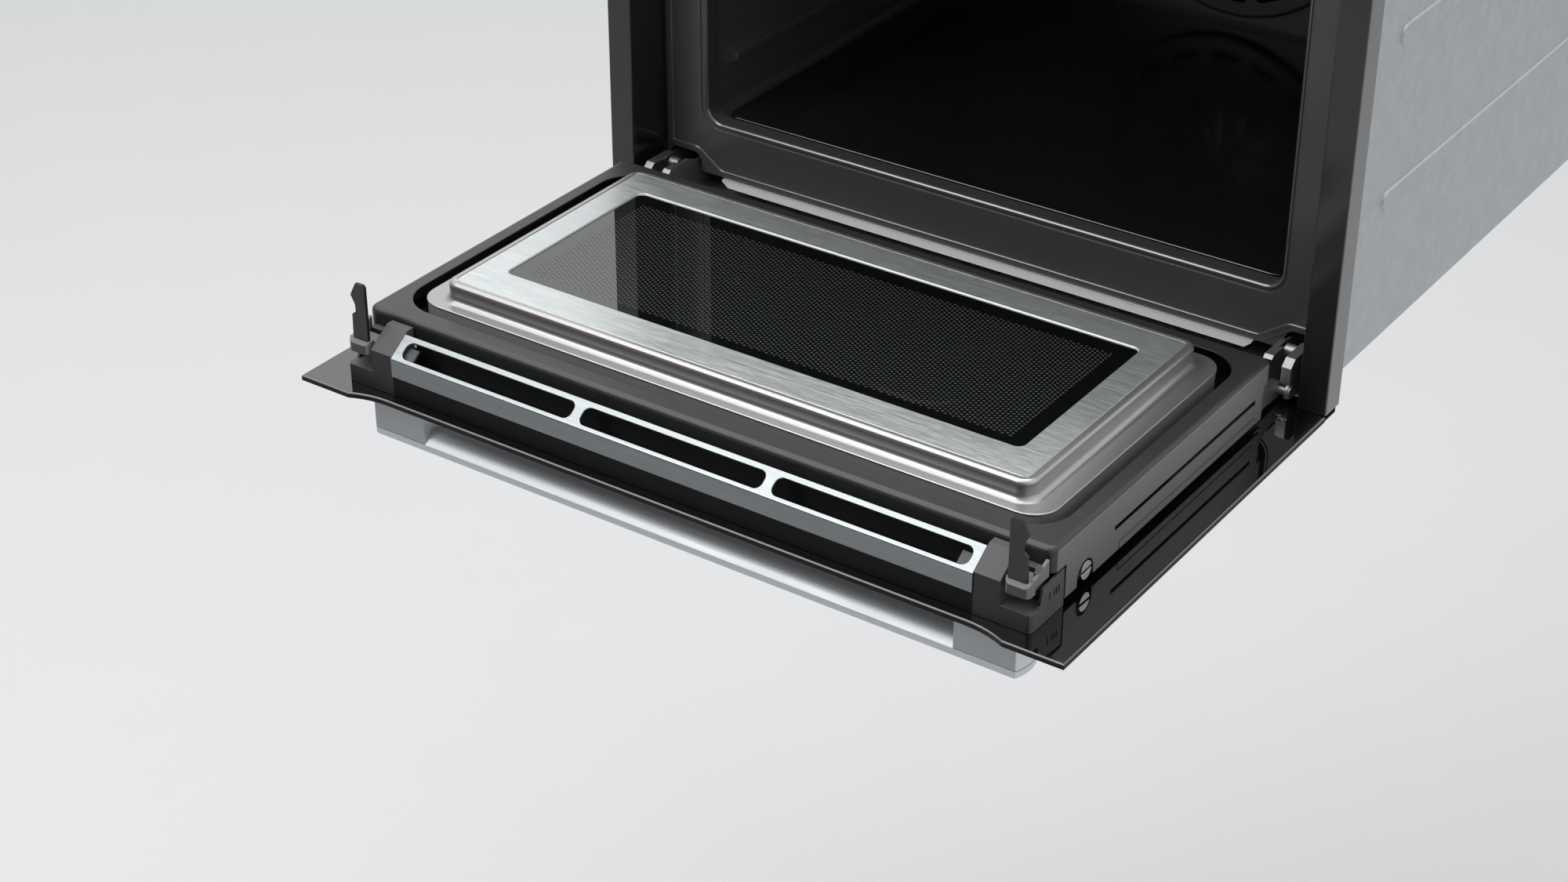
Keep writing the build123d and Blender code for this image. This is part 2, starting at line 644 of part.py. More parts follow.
def casing_screws():
    """Pan-head screws of the back panel."""
    solids = []
    for x in (-SCREW_X, SCREW_X):
        for z in SCREW_LEVELS:
            head = rod_y(4, x, (CASING_REAR, CASING_REAR + 2.4), z)
            head = head.chamfer(0.8, None, head.faces().sort_by(Axis.Y)[-1].edges())
            screw = head + rod_y(SCREW_SHANK, x, (CASING_REAR - 9, CASING_REAR + 1), z)
            screw -= block((x - 0.5, x + 0.5), (CASING_REAR + 1.4, CASING_REAR + 5), (z - 2.6, z + 2.6))
            solids += screw.solids()
    return Compound(solids)


# Cavity and what heats it


def muffle_box(grow, y):
    """The cavity's space with its rounded long edges, moved out by a wall."""
    box = block(grown((-CAVITY_HALF, CAVITY_HALF), grow), y, grown(CAVITY_SPAN, grow))
    return box.fillet(8 + grow, box.edges().filter_by(Axis.Y))


def oven_cavity():
    """Enamelled muffle with shelf ribs, a stirrer well and a fan pocket."""
    half, low = CAVITY_HALF, CAVITY_SPAN[0]
    well = low - STIRRER_WELL_DEPTH
    pocket = CAVITY_REAR + FAN_POCKET_DEPTH
    muffle = muffle_box(SHEET, (FRAME_BACK, CAVITY_REAR + SHEET))
    flange = (FRAME_BACK, FRAME_BACK + SHEET)
    muffle += block((-CAVITY_FLANGE, CAVITY_FLANGE), flange, grown(CAVITY_SPAN, 5))
    muffle += rod_y(FAN_POCKET + SHEET, 0, (CAVITY_REAR, pocket + SHEET), FAN_Z)
    muffle += rod_z(STIRRER_WELL + SHEET, 0, STIRRER_Y, (well - SHEET, low))
    muffle -= muffle_box(0, (FRAME_BACK - 5, CAVITY_REAR))
    muffle -= rod_y(FAN_POCKET, 0, (CAVITY_REAR - 5, pocket), FAN_Z)
    muffle -= rod_z(STIRRER_WELL, 0, STIRRER_Y, (well, low + 1))
    muffle -= rod_y(9, 0, (CAVITY_REAR, pocket + 5), FAN_Z)
    muffle -= rod_z(GUIDE_MOUTH, 0, STIRRER_Y, (well - 5, low))
    muffle -= rod_x(LAMP_LENS + 0.1, (half - 5, half + 5), LAMP_Y, LAMP_Z)
    crest = half - SHELF_DEPTH
    for z in SHELF_LEVELS:
        rib = along_y(polygon(
            (half + 0.6, z - 7), (crest, z - 3), (crest, z + 3), (half + 0.6, z + 7),
        ), SHELF_RUN)
        rib = rib.fillet(2, rib.faces().sort_by(Axis.X)[0].edges())
        muffle += rib
        muffle += mirrored(rib)
    return muffle


def floor_plate():
    """Flat glass-ceramic floor over the stirrer."""
    top = CAVITY_SPAN[0] + FLOOR_PLATE
    tile = plate(grown((-CAVITY_HALF, CAVITY_HALF), -9), (38, 406), (CAVITY_SPAN[0], top), 10)
    return tile.fillet(1, tile.faces().sort_by(Axis.Z)[-1].edges())


def fan_baffle():
    """Slotted cover in front of the hot-air fan."""
    face = CAVITY_REAR - 6
    cover = rod_y(109, 0, (face, CAVITY_REAR), FAN_Z)
    cover = cover.fillet(4, cover.faces().sort_by(Axis.Y)[0].edges())
    cover -= rod_y(105, 0, (face + SHEET, CAVITY_REAR + 1), FAN_Z)
    inner = along_y(Pos(34, FAN_Z) * SlotOverall(44, 6), (face - 5, face + 5))
    outer = along_y(Pos(92, FAN_Z) * SlotOverall(26, 6, rotation=90), (face - 5, face + 5))
    for cut in around_y(inner, 12, FAN_Z) + around_y(outer, 16, FAN_Z):
        cover -= cut
    return cover


def ring_heater():
    """Round heating element behind the baffle, with its two leads."""
    y, radius, gap, tube = CAVITY_REAR + 17, 88, 12, 3.2
    path = CenterArc((0, 0, 0), radius, gap, 360 - 2 * gap)
    ring = sweep(Plane(origin=path @ 0, z_dir=path % 0) * Circle(tube), path)
    ring = Pos(0, y, FAN_Z) * Rot(90, 0, 0) * ring
    for angle in (math.radians(gap), math.radians(-gap)):
        x, z = radius * math.cos(angle), FAN_Z + radius * math.sin(angle)
        ring += rod_y(tube, x, (y, CAVITY_REAR + FAN_POCKET_DEPTH), z)
    return ring


def fan_wheel():
    """Hot-air fan: disc, pitched blades, hub and shaft."""
    front = CAVITY_REAR + 4
    rear = CAVITY_REAR + 26
    blade = Pos(52, (front + rear) / 2, FAN_Z) * Rot(0, 28, 0) * Box(34, rear - front, 1.4)
    wheel = rod_y(74, 0, (rear - 0.4, rear + 1), FAN_Z) + rod_y(12, 0, (front + 4, rear), FAN_Z)
    for one in around_y(blade, 10, FAN_Z):
        wheel += one
    return wheel + rod_y(4, 0, (rear, 472), FAN_Z)


def fan_motor():
    """Motor of the hot-air fan, bolted to the back of the pocket."""
    flange = CAVITY_REAR + FAN_POCKET_DEPTH + SHEET
    motor = upright((-34, 34), (flange, flange + 2), (FAN_Z - 34, FAN_Z + 34), 8)
    motor += rod_y(24, 0, (flange, flange + 16), FAN_Z)
    motor += upright((-30, 30), (flange + 14, flange + 40), (FAN_Z - 26, FAN_Z + 26), 6)
    return motor - rod_y(4 + RUNNING_GAP, 0, (flange - 5, 474), FAN_Z)


def grill_element():
    """Tube of the upper heater, bent in loops under the cavity's roof and hung on straps."""
    z, runs, near, far = CAVITY_SPAN[1] - 12, (-150, -50, 50, 150), 80, 350
    route = FilletPolyline(
        (runs[0], CAVITY_REAR), (runs[0], near), (runs[1], near), (runs[1], far),
        (runs[2], far), (runs[2], near), (runs[3], near), (runs[3], CAVITY_REAR), radius=40,
    )
    tube = Pos(0, 0, z) * sweep(Plane(origin=route @ 0, z_dir=route % 0) * Circle(3.3), route)
    for x in runs:
        tube += block((x - 1, x + 1), (200, 212), (z, CAVITY_SPAN[1]))
    return tube


def cavity_lamp():
    """Lamp in the right wall: lens towards the cavity and socket outside it."""
    half = CAVITY_HALF
    lamp = rod_x(LAMP_LENS, (half - 3, half + 14), LAMP_Y, LAMP_Z)
    lamp += rod_x(LAMP_LENS + 3, (half + SHEET, half + 5), LAMP_Y, LAMP_Z)
    return lamp + rod_x(9, (half + 10, half + 30), LAMP_Y, LAMP_Z)


def stirrer():
    """Turning antenna in its well: petal plate, hub and shaft."""
    z = CAVITY_SPAN[0] - 9
    petal = plate((-20, 20), (0, 78), (z, z + 1.5), 16)
    antenna = rod_z(24, 0, 0, (z, z + 1.5))
    for angle in (0, 90, 180, 270):
        antenna += Rot(0, 0, angle) * petal
    antenna -= plate((-8, 8), (36, 66), (z - 1, z + 3), 7)
    antenna += rod_z(7, 0, 0, (z - 6, z + 4)) + rod_z(3.5, 0, 0, (8, z))
    return Pos(0, STIRRER_Y, 0) * antenna


def stirrer_motor():
    """Flat motor of the stirrer on the casing floor."""
    motor = rod_z(24, 0, STIRRER_Y, (SHEET, 12))
    motor += plate((-34, 34), (STIRRER_Y - 8, STIRRER_Y + 8), (SHEET, 3), 5)
    return motor - rod_z(3.5 + RUNNING_GAP, 0, STIRRER_Y, (7, 20))


def waveguide():
    """Rectangular duct from the magnetron to the stirrer well."""
    top = CAVITY_SPAN[0] - STIRRER_WELL_DEPTH - SHEET
    wide, run, high = (-46, 46), (150, 500), (13, top)
    duct = block(wide, run, high) - block(grown(wide, -2), grown(run, -2), grown(high, -2))
    duct -= rod_z(GUIDE_MOUTH, 0, STIRRER_Y, (top - 5, top + 5))
    duct -= rod_z(5, 0, STIRRER_Y, (10, 20))
    return duct - rod_z(9, 0, MAGNETRON_Y - 16, (top - 5, top + 5))


def magnetron():
    """Magnetron on the rear end of the waveguide: yoke, cooling fins and antenna."""
    low, y = CAVITY_SPAN[0] - STIRRER_WELL_DEPTH - SHEET, MAGNETRON_Y
    yoke = block((-44, 44), (y - 30, y + 34), (low, low + 70))
    yoke -= block((-42, 42), (y - 40, y + 40), (low + 2, low + 68))
    body = rod_z(17, 0, y, (low + 1, low + 69)) + rod_z(8, 0, y - 16, (low - 14, low + 3))
    for n in range(8):
        z = low + 14 + 6 * n
        body += block((-43, 43), (y - 26, y + 26), (z, z + 0.8))
    return yoke + body


def inverter():
    """Power supply on the cavity's roof: board on posts, finned cooler and transformer."""
    z, (front, rear) = CAVITY_SPAN[1] + 26, (250, 390)
    unit = block((120, 262), (front, rear), (z, z + 2))
    unit += block((130, 188), (front + 10, rear - 40), (z + 1, z + 6))
    for n in range(9):
        x = 130 + 7 * n
        unit += block((x, x + 2), (front + 10, rear - 40), (z + 1, z + 40))
    unit += block((205, 255), (front + 30, rear - 55), (z + 1, z + 46))
    unit += rod_y(16, 230, (front + 25, rear - 50), z + 24)
    for x in (126, 256):
        for y in (front + 6, rear - 6):
            unit += rod_z(4, x, y, (CAVITY_SPAN[1] + SHEET, z + 1))
    return unit


def volute(wall, z):
    """The blower's scroll and outlet duct, drawn in by a wall."""
    x, y, radius = BLOWER_X, BLOWER_Y, 66 - wall
    return rod_z(radius, x, y, z) + block((x - radius, x - wall), (y - 150, y), z)


def blower_housing():
    """Volute of the cooling blower on the cavity's roof, with its open outlet and the wheel's spindle."""
    low = CAVITY_SPAN[1] + SHEET
    high = low + 66
    shell = volute(0, (low, high)) - volute(2, (low + 2, high - 2))
    shell -= rod_z(34, BLOWER_X, BLOWER_Y, (high - 5, high + 5))
    shell += rod_z(10, BLOWER_X, BLOWER_Y, (low + 1, low + 3.4))
    return shell + rod_z(SPINDLE, BLOWER_X, BLOWER_Y, (low + 1, low + 20))


def blower_wheel():
    """Squirrel-cage wheel of the cooling blower."""
    low = CAVITY_SPAN[1] + SHEET + 6
    wheel = rod_z(48, 0, 0, (low, low + 1.5)) + rod_z(6, 0, 0, (low - 2, low + 16))
    wheel += rod_z(48, 0, 0, (low + 50, low + 52)) - rod_z(43, 0, 0, (low + 40, low + 60))
    for n in range(20):
        wheel += Rot(0, 0, 18 * n) * Pos(45.4, 0, low + 25.7) * Rot(0, 0, 30) * Box(4.6, 1, 50)
    wheel -= rod_z(SPINDLE + RUNNING_GAP, 0, 0, (low - 10, low + 40))
    return Pos(BLOWER_X, BLOWER_Y, 0) * wheel


def interlock():
    """Right latch switch box behind the front frame, with the ledge that the hook catches."""
    box = block((240, 270), (FRAME_BACK, 64), (326, 356)) - block((242, 268), (0, 60), (330, 352))
    ledge = block((262.2, 268.5), (FRAME_BACK + 4, FRAME_BACK + 8), (329, 353))
    return box + ledge + block((246, 264), (63, 74), (332, 350))


# Fixed hinge halves


def hinge_cheek(x, top, fold, fold_low):
    """One cheek of the fixed hinge, with its edge folded over above a level."""
    nose = HINGE_Y - 1.5
    outline = polygon(
        (nose, HINGE_Z), (nose, top - 5), (nose + 6, top), (10, top), (20, top - 4), (HINGE_REAR, top - 4),
        (HINGE_REAR, SHEET), (4, SHEET), (HINGE_Y, HINGE_Z - HINGE_KNUCKLE),
    )
    outline += Pos(HINGE_Y, HINGE_Z) * Circle(HINGE_KNUCKLE)
    edge = outline - offset(outline, -1.6, kind=Kind.INTERSECTION)
    edge &= polygon((nose - 1, fold_low), (12, fold_low), (12, top + 1), (nose - 1, top + 1))
    return along_x(outline, x) + along_x(edge, fold)


def hinge_arm():
    """Right fixed hinge: two cheeks on a web that reach out of the front frame to the pin."""
    inner, outer = HINGE_INNER_PLATE, HINGE_OUTER_PLATE
    arm = hinge_cheek(inner, 29.4, (inner[0], HINGE_TONGUE[0] - 0.7), 27)
    arm += hinge_cheek(outer, 31.4, (HINGE_TONGUE[1] + 0.7, outer[1]), 14)
    arm -= block((250.4, HINGE_TONGUE[0]), (0, 30), (20, 40))
    arm += block((inner[0], outer[1]), (34, HINGE_REAR), (SHEET, SHEET + 2))
    return arm - rod_x(HINGE_PIN + 0.02, (240, 280), HINGE_Y, HINGE_Z)


def hinge_pins():
    """Headed pins of both hinges."""
    ends = grown((HINGE_INNER_PLATE[0], HINGE_OUTER_PLATE[1]), 1.4)
    pin = rod_x(HINGE_PIN, ends, HINGE_Y, HINGE_Z)
    pin += rod_x(4.6, (ends[0], HINGE_INNER_PLATE[0]), HINGE_Y, HINGE_Z)
    pin += rod_x(4.6, (HINGE_OUTER_PLATE[1], ends[1]), HINGE_Y, HINGE_Z)
    return both_sides(pin)


def hinge_rollers():
    """Rollers between the cheeks that the door's spring arms run on."""
    y, z = 7, 25.2
    roller = rod_x(4.4, (253, 261), y, z)
    roller += rod_x(1.6, (HINGE_INNER_PLATE[1], HINGE_OUTER_PLATE[0]), y, z)
    return both_sides(roller)


DOOR_PIECES = {
    "door_glass": door_glass(),
    "door_frame": door_frame(),
    "vent_rail": vent_rail(),
    "air_duct": air_duct(),
    "end_cap_right": end_cap(),
    "end_cap_left": mirrored(end_cap()),
    "latch_pins": latch_pins(),
    "latch_lever_right": latch_lever(),
    "latch_lever_left": mirrored(latch_lever()),
    "latch_hook_right": latch_hook(),
    "latch_hook_left": mirrored(latch_hook()),
    "inner_panel": inner_panel(),
    "choke_ring": choke_ring(),
    "window_glass": window_glass(),
    "mesh_screen": mesh_screen(),
    "door_tray": door_tray(),
    "door_screws": door_screws(),
    "handle_bar": handle_bar(),
    "handle_posts": both_sides(handle_post()),
    "handle_screws": handle_screws(),
    "hinge_channel_right": hinge_channel(),
    "hinge_channel_left": mirrored(hinge_channel()),
}

BODY_PIECES = {
    "front_frame": front_frame(),
    "threshold_strip": threshold_strip(),
    "trim_right": trim(),
    "trim_left": mirrored(trim()),
    "fascia_glass": fascia_glass(),
    "fascia_carrier": fascia_carrier(),
    "display_module": display_module(),
    "dial_hub": dial_hub(),
    "control_ring": control_ring(),
    "control_board": control_board(),
    "base_plate": base_plate(),
    "side_panel_right": side_panel(),
    "side_panel_left": mirrored(side_panel()),
    "top_cover": top_cover(),
    "rear_panel": rear_panel(),
    "mains_inlet": mains_inlet(),
    "casing_screws": casing_screws(),
    "oven_cavity": oven_cavity(),
    "floor_plate": floor_plate(),
    "fan_baffle": fan_baffle(),
    "ring_heater": ring_heater(),
    "fan_wheel": fan_wheel(),
    "fan_motor": fan_motor(),
    "grill_element": grill_element(),
    "cavity_lamp": cavity_lamp(),
    "stirrer": stirrer(),
    "stirrer_motor": stirrer_motor(),
    "waveguide": waveguide(),
    "magnetron": magnetron(),
    "inverter": inverter(),
    "blower_housing": blower_housing(),
    "blower_wheel": blower_wheel(),
    "interlock_right": interlock(),
    "interlock_left": mirrored(interlock()),
    "hinge_arm_right": hinge_arm(),
    "hinge_arm_left": mirrored(hinge_arm()),
    "hinge_pins": hinge_pins(),
    "hinge_rollers": hinge_rollers(),
}

pieces = {name: on_door(piece) for name, piece in DOOR_PIECES.items()} | BODY_PIECES

os.makedirs("parts", exist_ok=True)
for name, piece in pieces.items():
    export_step(piece, f"parts/{name}.step")
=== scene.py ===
"""Dresses a built-in microwave oven with a drop-down door: finishes, fine details, studio and camera."""

import logging
import math
from dataclasses import dataclass
from enum import Enum
from typing import ClassVar, Dict, Iterable, List, Mapping, Optional, Sequence, Tuple, Union

import bmesh
import bpy
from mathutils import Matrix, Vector


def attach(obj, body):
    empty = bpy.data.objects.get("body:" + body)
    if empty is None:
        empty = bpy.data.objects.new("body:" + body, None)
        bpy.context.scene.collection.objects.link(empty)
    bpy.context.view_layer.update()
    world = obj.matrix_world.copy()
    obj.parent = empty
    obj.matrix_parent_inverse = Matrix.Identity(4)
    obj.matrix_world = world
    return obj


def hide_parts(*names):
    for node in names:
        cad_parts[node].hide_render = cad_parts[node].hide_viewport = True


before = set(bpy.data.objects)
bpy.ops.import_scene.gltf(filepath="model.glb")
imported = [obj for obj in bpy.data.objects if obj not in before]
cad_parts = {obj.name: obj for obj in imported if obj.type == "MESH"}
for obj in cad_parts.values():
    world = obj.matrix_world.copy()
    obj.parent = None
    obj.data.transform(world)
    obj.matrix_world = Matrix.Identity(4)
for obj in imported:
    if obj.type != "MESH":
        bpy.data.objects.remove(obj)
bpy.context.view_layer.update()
LOG = logging.getLogger("oven")

Colour = Tuple[float, float, float]
Point = Tuple[float, float, float]
Flat = Tuple[float, float]

# Prefix of the finishes, so that no name is that of a CAD slot
PREFIX = "oven_"
NO_LIGHT: Colour = (0.0, 0.0, 0.0)
# How squarely a face looks along an axis, where the painted shade of the fronts and the painted light of the
# sides start and where they are full
TURNED: Flat = (0.72, 0.97)
# Two rows of staggered dots, in pitches
ROW_PAIR = math.sqrt(3)
BEVEL_SAMPLES = 4
# Sockets of a Mix node that mixes colours
MIX_FACTOR, MIX_FIRST, MIX_SECOND, MIX_RESULT = 0, 6, 7, 2
# Signs of a rectangle's corners, in order
CORNERS = ((1, 1), (-1, 1), (-1, -1), (1, -1))


class Axis(Enum):
    """A direction of the oven's own frame."""

    X = 0
    Y = 1
    Z = 2


class Wire:
    """A node's output socket that takes part in arithmetic."""

    def __init__(self, graph: "Graph", socket: bpy.types.NodeSocket) -> None:
        """Keeps the socket and the graph that it belongs to."""
        self.graph = graph
        self.socket = socket

    def math(self, operation: str, *values: "Value") -> "Wire":
        """A Math node on the given values."""
        return self.graph.node("ShaderNodeMath", {"operation": operation}, dict(enumerate(values)))

    def __add__(self, other: "Value") -> "Wire":
        """The sum."""
        return self.math("ADD", self, other)

    def __radd__(self, other: "Value") -> "Wire":
        """The sum, with the number first."""
        return self.math("ADD", other, self)

    def __sub__(self, other: "Value") -> "Wire":
        """The difference."""
        return self.math("SUBTRACT", self, other)

    def __rsub__(self, other: "Value") -> "Wire":
        """The difference, with the number first."""
        return self.math("SUBTRACT", other, self)

    def __mul__(self, other: "Value") -> "Wire":
        """The product."""
        return self.math("MULTIPLY", self, other)

    def __rmul__(self, other: "Value") -> "Wire":
        """The product, with the number first."""
        return self.math("MULTIPLY", other, self)

    def __truediv__(self, other: "Value") -> "Wire":
        """The quotient."""
        return self.math("DIVIDE", self, other)

    def __rtruediv__(self, other: "Value") -> "Wire":
        """The quotient, with the number first."""
        return self.math("DIVIDE", other, self)

    def __abs__(self) -> "Wire":
        """The size without its sign."""
        return self.math("ABSOLUTE", self)

    def __gt__(self, other: "Value") -> "Wire":
        """One where this is the larger, and zero elsewhere."""
        return self.math("GREATER_THAN", self, other)

    def __lt__(self, other: "Value") -> "Wire":
        """One where this is the smaller, and zero elsewhere."""
        return self.math("LESS_THAN", self, other)

    def __neg__(self) -> "Wire":
        """The value with its sign turned."""
        return self.math("MULTIPLY", self, -1.0)

    def largest(self, other: "Value") -> "Wire":
        """The larger of the two."""
        return self.math("MAXIMUM", self, other)

    def smallest(self, other: "Value") -> "Wire":
        """The smaller of the two."""
        return self.math("MINIMUM", self, other)

    def part(self) -> "Wire":
        """What is left over the whole number."""
        return self.math("FRACT", self)

    def root(self) -> "Wire":
        """The square root."""
        return self.math("SQRT", self)

    def swing(self, size: float) -> "Wire":
        """A change of this size about zero, from values that lie about a half."""
        return (self - 0.5) * size

    def step(self, low: float, high: float) -> "Wire":
        """A soft step from zero at low to one at high."""
        inputs = {"Value": self, "From Min": low, "From Max": high}
        return self.graph.node("ShaderNodeMapRange", {"interpolation_type": "SMOOTHSTEP"}, inputs)


Value = Union[float, Wire]
Setting = Union[Value, Colour, Point, Tuple[float, float, float, float]]
Sockets = Mapping[Union[int, str], Setting]


class Graph:
    """A node tree that is filled through short calls."""

    def __init__(self, owner: Union[bpy.types.Material, bpy.types.World]) -> None:
        """Starts with an empty tree.

        Args:
            owner: the material or world that has the tree.
        """
        owner.use_nodes = True
        self.owner = owner
        self.tree = owner.node_tree
        self.tree.nodes.clear()

    def node(
        self,
        kind: str,
        settings: Optional[Mapping[str, object]] = None,
        inputs: Optional[Sockets] = None,
        output: Union[int, str, None] = 0,
    ) -> Optional[Wire]:
        """Adds one node.

        Args:
            kind: the node's type.
            settings: properties to set first.
            inputs: values or wires for its sockets.
            output: the socket to hand back, or None for a node that has none.

        Returns:
            The wire of that output.
        """
        made = self.tree.nodes.new(kind)
        for key, value in (settings or {}).items():
            setattr(made, key, value)
        for key, value in (inputs or {}).items():
            socket = made.inputs[key]
            if isinstance(value, Wire):
                self.tree.links.new(value.socket, socket)
            else:
                socket.default_value = value
        return None if output is None else Wire(self, made.outputs[output])

    def place(self) -> Wire:
        """Where a point lies in the oven's frame, at rest."""
        return self.node("ShaderNodeTexCoord", output="Object")

    def normal(self, axis: Axis) -> Wire:
        """How squarely a surface faces along one axis, with a minus where it looks back."""
        return self.split(self.node("ShaderNodeTexCoord", output="Normal"))[axis.value]

    def facing(self, axis: Axis) -> Wire:
        """How squarely a surface faces along one axis, without regard to the side."""
        return abs(self.normal(axis))

    def split(self, vector: Wire) -> List[Wire]:
        """The three parts of a vector."""
        first = self.node("ShaderNodeSeparateXYZ", inputs={0: vector})
        return [Wire(self, socket) for socket in first.socket.node.outputs]

    def stretched(self, vector: Wire, scale: Point) -> Wire:
        """A vector scaled apart along each axis."""
        return self.node("ShaderNodeVectorMath", {"operation": "MULTIPLY"}, {0: vector, 1: scale})

    def noise(self, vector: Wire, scale: float = 1.0, detail: float = 2.0) -> Wire:
        """Soft random values from zero to one."""
        return self.node("ShaderNodeTexNoise", inputs={"Vector": vector, "Scale": scale, "Detail": detail})

    def cells(self, vector: Wire, scale: float, output: str = "Color") -> Wire:
        """Random cells, by colour or by distance from their middles."""
        return self.node("ShaderNodeTexVoronoi", inputs={"Vector": vector, "Scale": scale}, output=output)

    def mix(self, factor: Value, first: Union[Colour, Wire], second: Union[Colour, Wire]) -> Wire:
        """A colour from the first, where the factor is zero, to the second, where it is one."""
        inputs = {MIX_FACTOR: factor, MIX_FIRST: rgba(first), MIX_SECOND: rgba(second)}
        return self.node("ShaderNodeMix", {"data_type": "RGBA"}, inputs, MIX_RESULT)

    def varied(self, factor: Wire, colour: Colour, spread: float) -> Wire:
        """A colour that goes from darker to lighter by a share of itself."""
        return self.mix(factor, shaded(colour, 1 - spread), shaded(colour, 1 + spread))

    def shade_fronts(self, colour: Wire, tone: float) -> Wire:
        """Darkens the faces that look along Y, which the photo's light leaves dull.

        Args:
            colour: the colour of all other faces.
            tone: how light those faces are, from zero to one.

        Returns:
            The wire of the colour.
        """
        if tone == 1:
            return colour
        return self.mix(self.facing(Axis.Y).step(*TURNED) * (1 - tone), colour, NO_LIGHT)

    def beyond(self, place: Wire, middle: Flat, half: Flat) -> Wire:
        """How far a point lies outside a rectangle along X and Y, and below zero inside it."""
        x, y, _ = self.split(place)
        return (abs(x - middle[0]) - half[0]).largest(abs(y - middle[1]) - half[1])

    def dots(self, place: Wire, pitch: float) -> Wire:
        """How far a point is from the nearest dot of staggered rows along Y, in pitches.

        Args:
            place: the point.
            pitch: from one dot of a row to the next.

        Returns:
            The wire of the distance.
        """
        x, y, _ = self.split(place)
        side, over = y / pitch, x / (pitch * ROW_PAIR)
        return self.lattice(side, over).smallest(self.lattice(side + 0.5, over + 0.5))

    def lattice(self, across: Wire, along: Wire) -> Wire:
        """How far a point is from the nearest dot of one grid, in pitches.

        Args:
            across: place along a row, in pitches.
            along: place over the rows, in pairs of rows.

        Returns:
            The wire of the distance.
        """
        side = across.part() - 0.5
        over = (along.part() - 0.5) * ROW_PAIR
        return (side * side + over * over).root()

    def relief(self, height: Wire, strength: float, depth: float, edge: float = 0.0) -> Wire:
        """A normal from a height, over edges that are softened by a radius.

        Args:
            height: the relief, from zero to one.
            strength: how much of the relief shows.
            depth: the relief's real depth in metres.
            edge: radius of the softened edges, or zero for none.

        Returns:
            The wire of the normal.
        """
        inputs: Dict[Union[int, str], Setting] = {"Strength": strength, "Distance": depth, "Height": height}
        if edge:
            inputs["Normal"] = self.node("ShaderNodeBevel", {"samples": BEVEL_SAMPLES}, {"Radius": edge})
        return self.node("ShaderNodeBump", inputs=inputs)

    def close(
        self, sockets: Sockets, second: Optional[Sockets] = None, factor: Value = 0.0,
    ) -> bpy.types.Material:
        """Ends a material with one surface shader, or with a mix of two.

        Args:
            sockets: values or wires for the shader's sockets.
            second: the same for a second shader.
            factor: how much of the second shader.

        Returns:
            The finished material.
        """
        shader = self.node("ShaderNodeBsdfPrincipled", inputs=sockets)
        if second:
            other = self.node("ShaderNodeBsdfPrincipled", inputs=second)
            shader = self.node("ShaderNodeMixShader", inputs={0: factor, 1: shader, 2: other})
        self.node("ShaderNodeOutputMaterial", inputs={"Surface": shader}, output=None)
        return self.owner


def rgba(colour: Union[Colour, Wire]) -> Union[Wire, Tuple[float, float, float, float]]:
    """A colour with full cover, where it isn't a wire."""
    return colour if isinstance(colour, Wire) else (*colour, 1.0)


def shaded(colour: Colour, factor: float) -> Colour:
    """A colour made lighter or darker."""
    return tuple(part * factor for part in colour)


@dataclass(frozen=True)
class Finish:
    """A surface that is made once and shared by the pieces that have it."""

    name: str

    def material(self) -> bpy.types.Material:
        """The material, made at its first use."""
        name = PREFIX + self.name
        return bpy.data.materials.get(name) or self.make(Graph(bpy.data.materials.new(name)))

    def make(self, graph: Graph) -> bpy.types.Material:
        """Builds the material in its empty node tree."""
        raise NotImplementedError


@dataclass(frozen=True)
class Paint(Finish):
    """Baked paint or enamel with a faint orange peel, soft clouding and a coat that its fronts lack, with
    optional painted shade on its fronts and painted light on its outermost sides.
    """

    colour: Colour
    roughness: float
    peel: float = 0.05
    edge: float = 0.0009
    coat: float = 0.0
    speckle: float = 0.0
    cloud: float = 0.14
    ior: float = 1.5
    # How light the faces that look along Y stay under their painted shade
    front_shade: float = 1.0
    # How much lighter the outermost faces that look along X are painted, as painted light; the next value is
    # where along X they start
    side: float = 1.0
    lit_side_from: float = 0.0
    cloud_scale: float = 9.0
    cloud_gloss: float = 0.06
    peel_scale: float = 700.0
    peel_gloss: float = 0.04
    peel_depth: float = 0.0004
    fleck_scale: float = 900.0
    fleck_edge: Flat = (0.05, 0.16)
    fleck_tone: float = 6.0
    coat_end: Flat = (0.86, 0.99)
    coat_roughness: float = 0.1
    coat_ior: float = 1.9

    def make(self, graph: Graph) -> bpy.types.Material:
        """Builds the material.

        Args:
            graph: the empty node tree.

        Returns:
            The finished material.
        """
        place = graph.place()
        cloud = graph.noise(place, self.cloud_scale, detail=3.0)
        peel = graph.noise(place, self.peel_scale)
        colour = graph.varied(cloud, self.colour, self.cloud)
        if self.speckle:
            fleck = 1 - graph.cells(place, self.fleck_scale, "Distance").step(*self.fleck_edge)
            colour = graph.mix(fleck * self.speckle, colour, shaded(self.colour, self.fleck_tone))
        # Painted light: the outermost faces that look along X are painted lighter
        if self.side != 1:
            outermost = abs(graph.split(place)[0]) > self.lit_side_from
            lit_flank = graph.facing(Axis.X).step(*TURNED) * outermost
            colour = graph.mix(lit_flank, colour, shaded(self.colour, self.side))
        coat: Value = self.coat
        if self.coat:
            coat = (1 - graph.facing(Axis.Y).step(*self.coat_end)) * self.coat
        # Painted shade darkens the faces that look along Y
        return graph.close({
            "Base Color": graph.shade_fronts(colour, self.front_shade),
            "Roughness": self.roughness + cloud.swing(self.cloud_gloss) + peel.swing(self.peel_gloss),
            "IOR": self.ior,
            "Coat Weight": coat,
            "Coat Roughness": self.coat_roughness,
            "Coat IOR": self.coat_ior,
            "Normal": graph.relief(peel, self.peel, self.peel_depth, self.edge),
        })


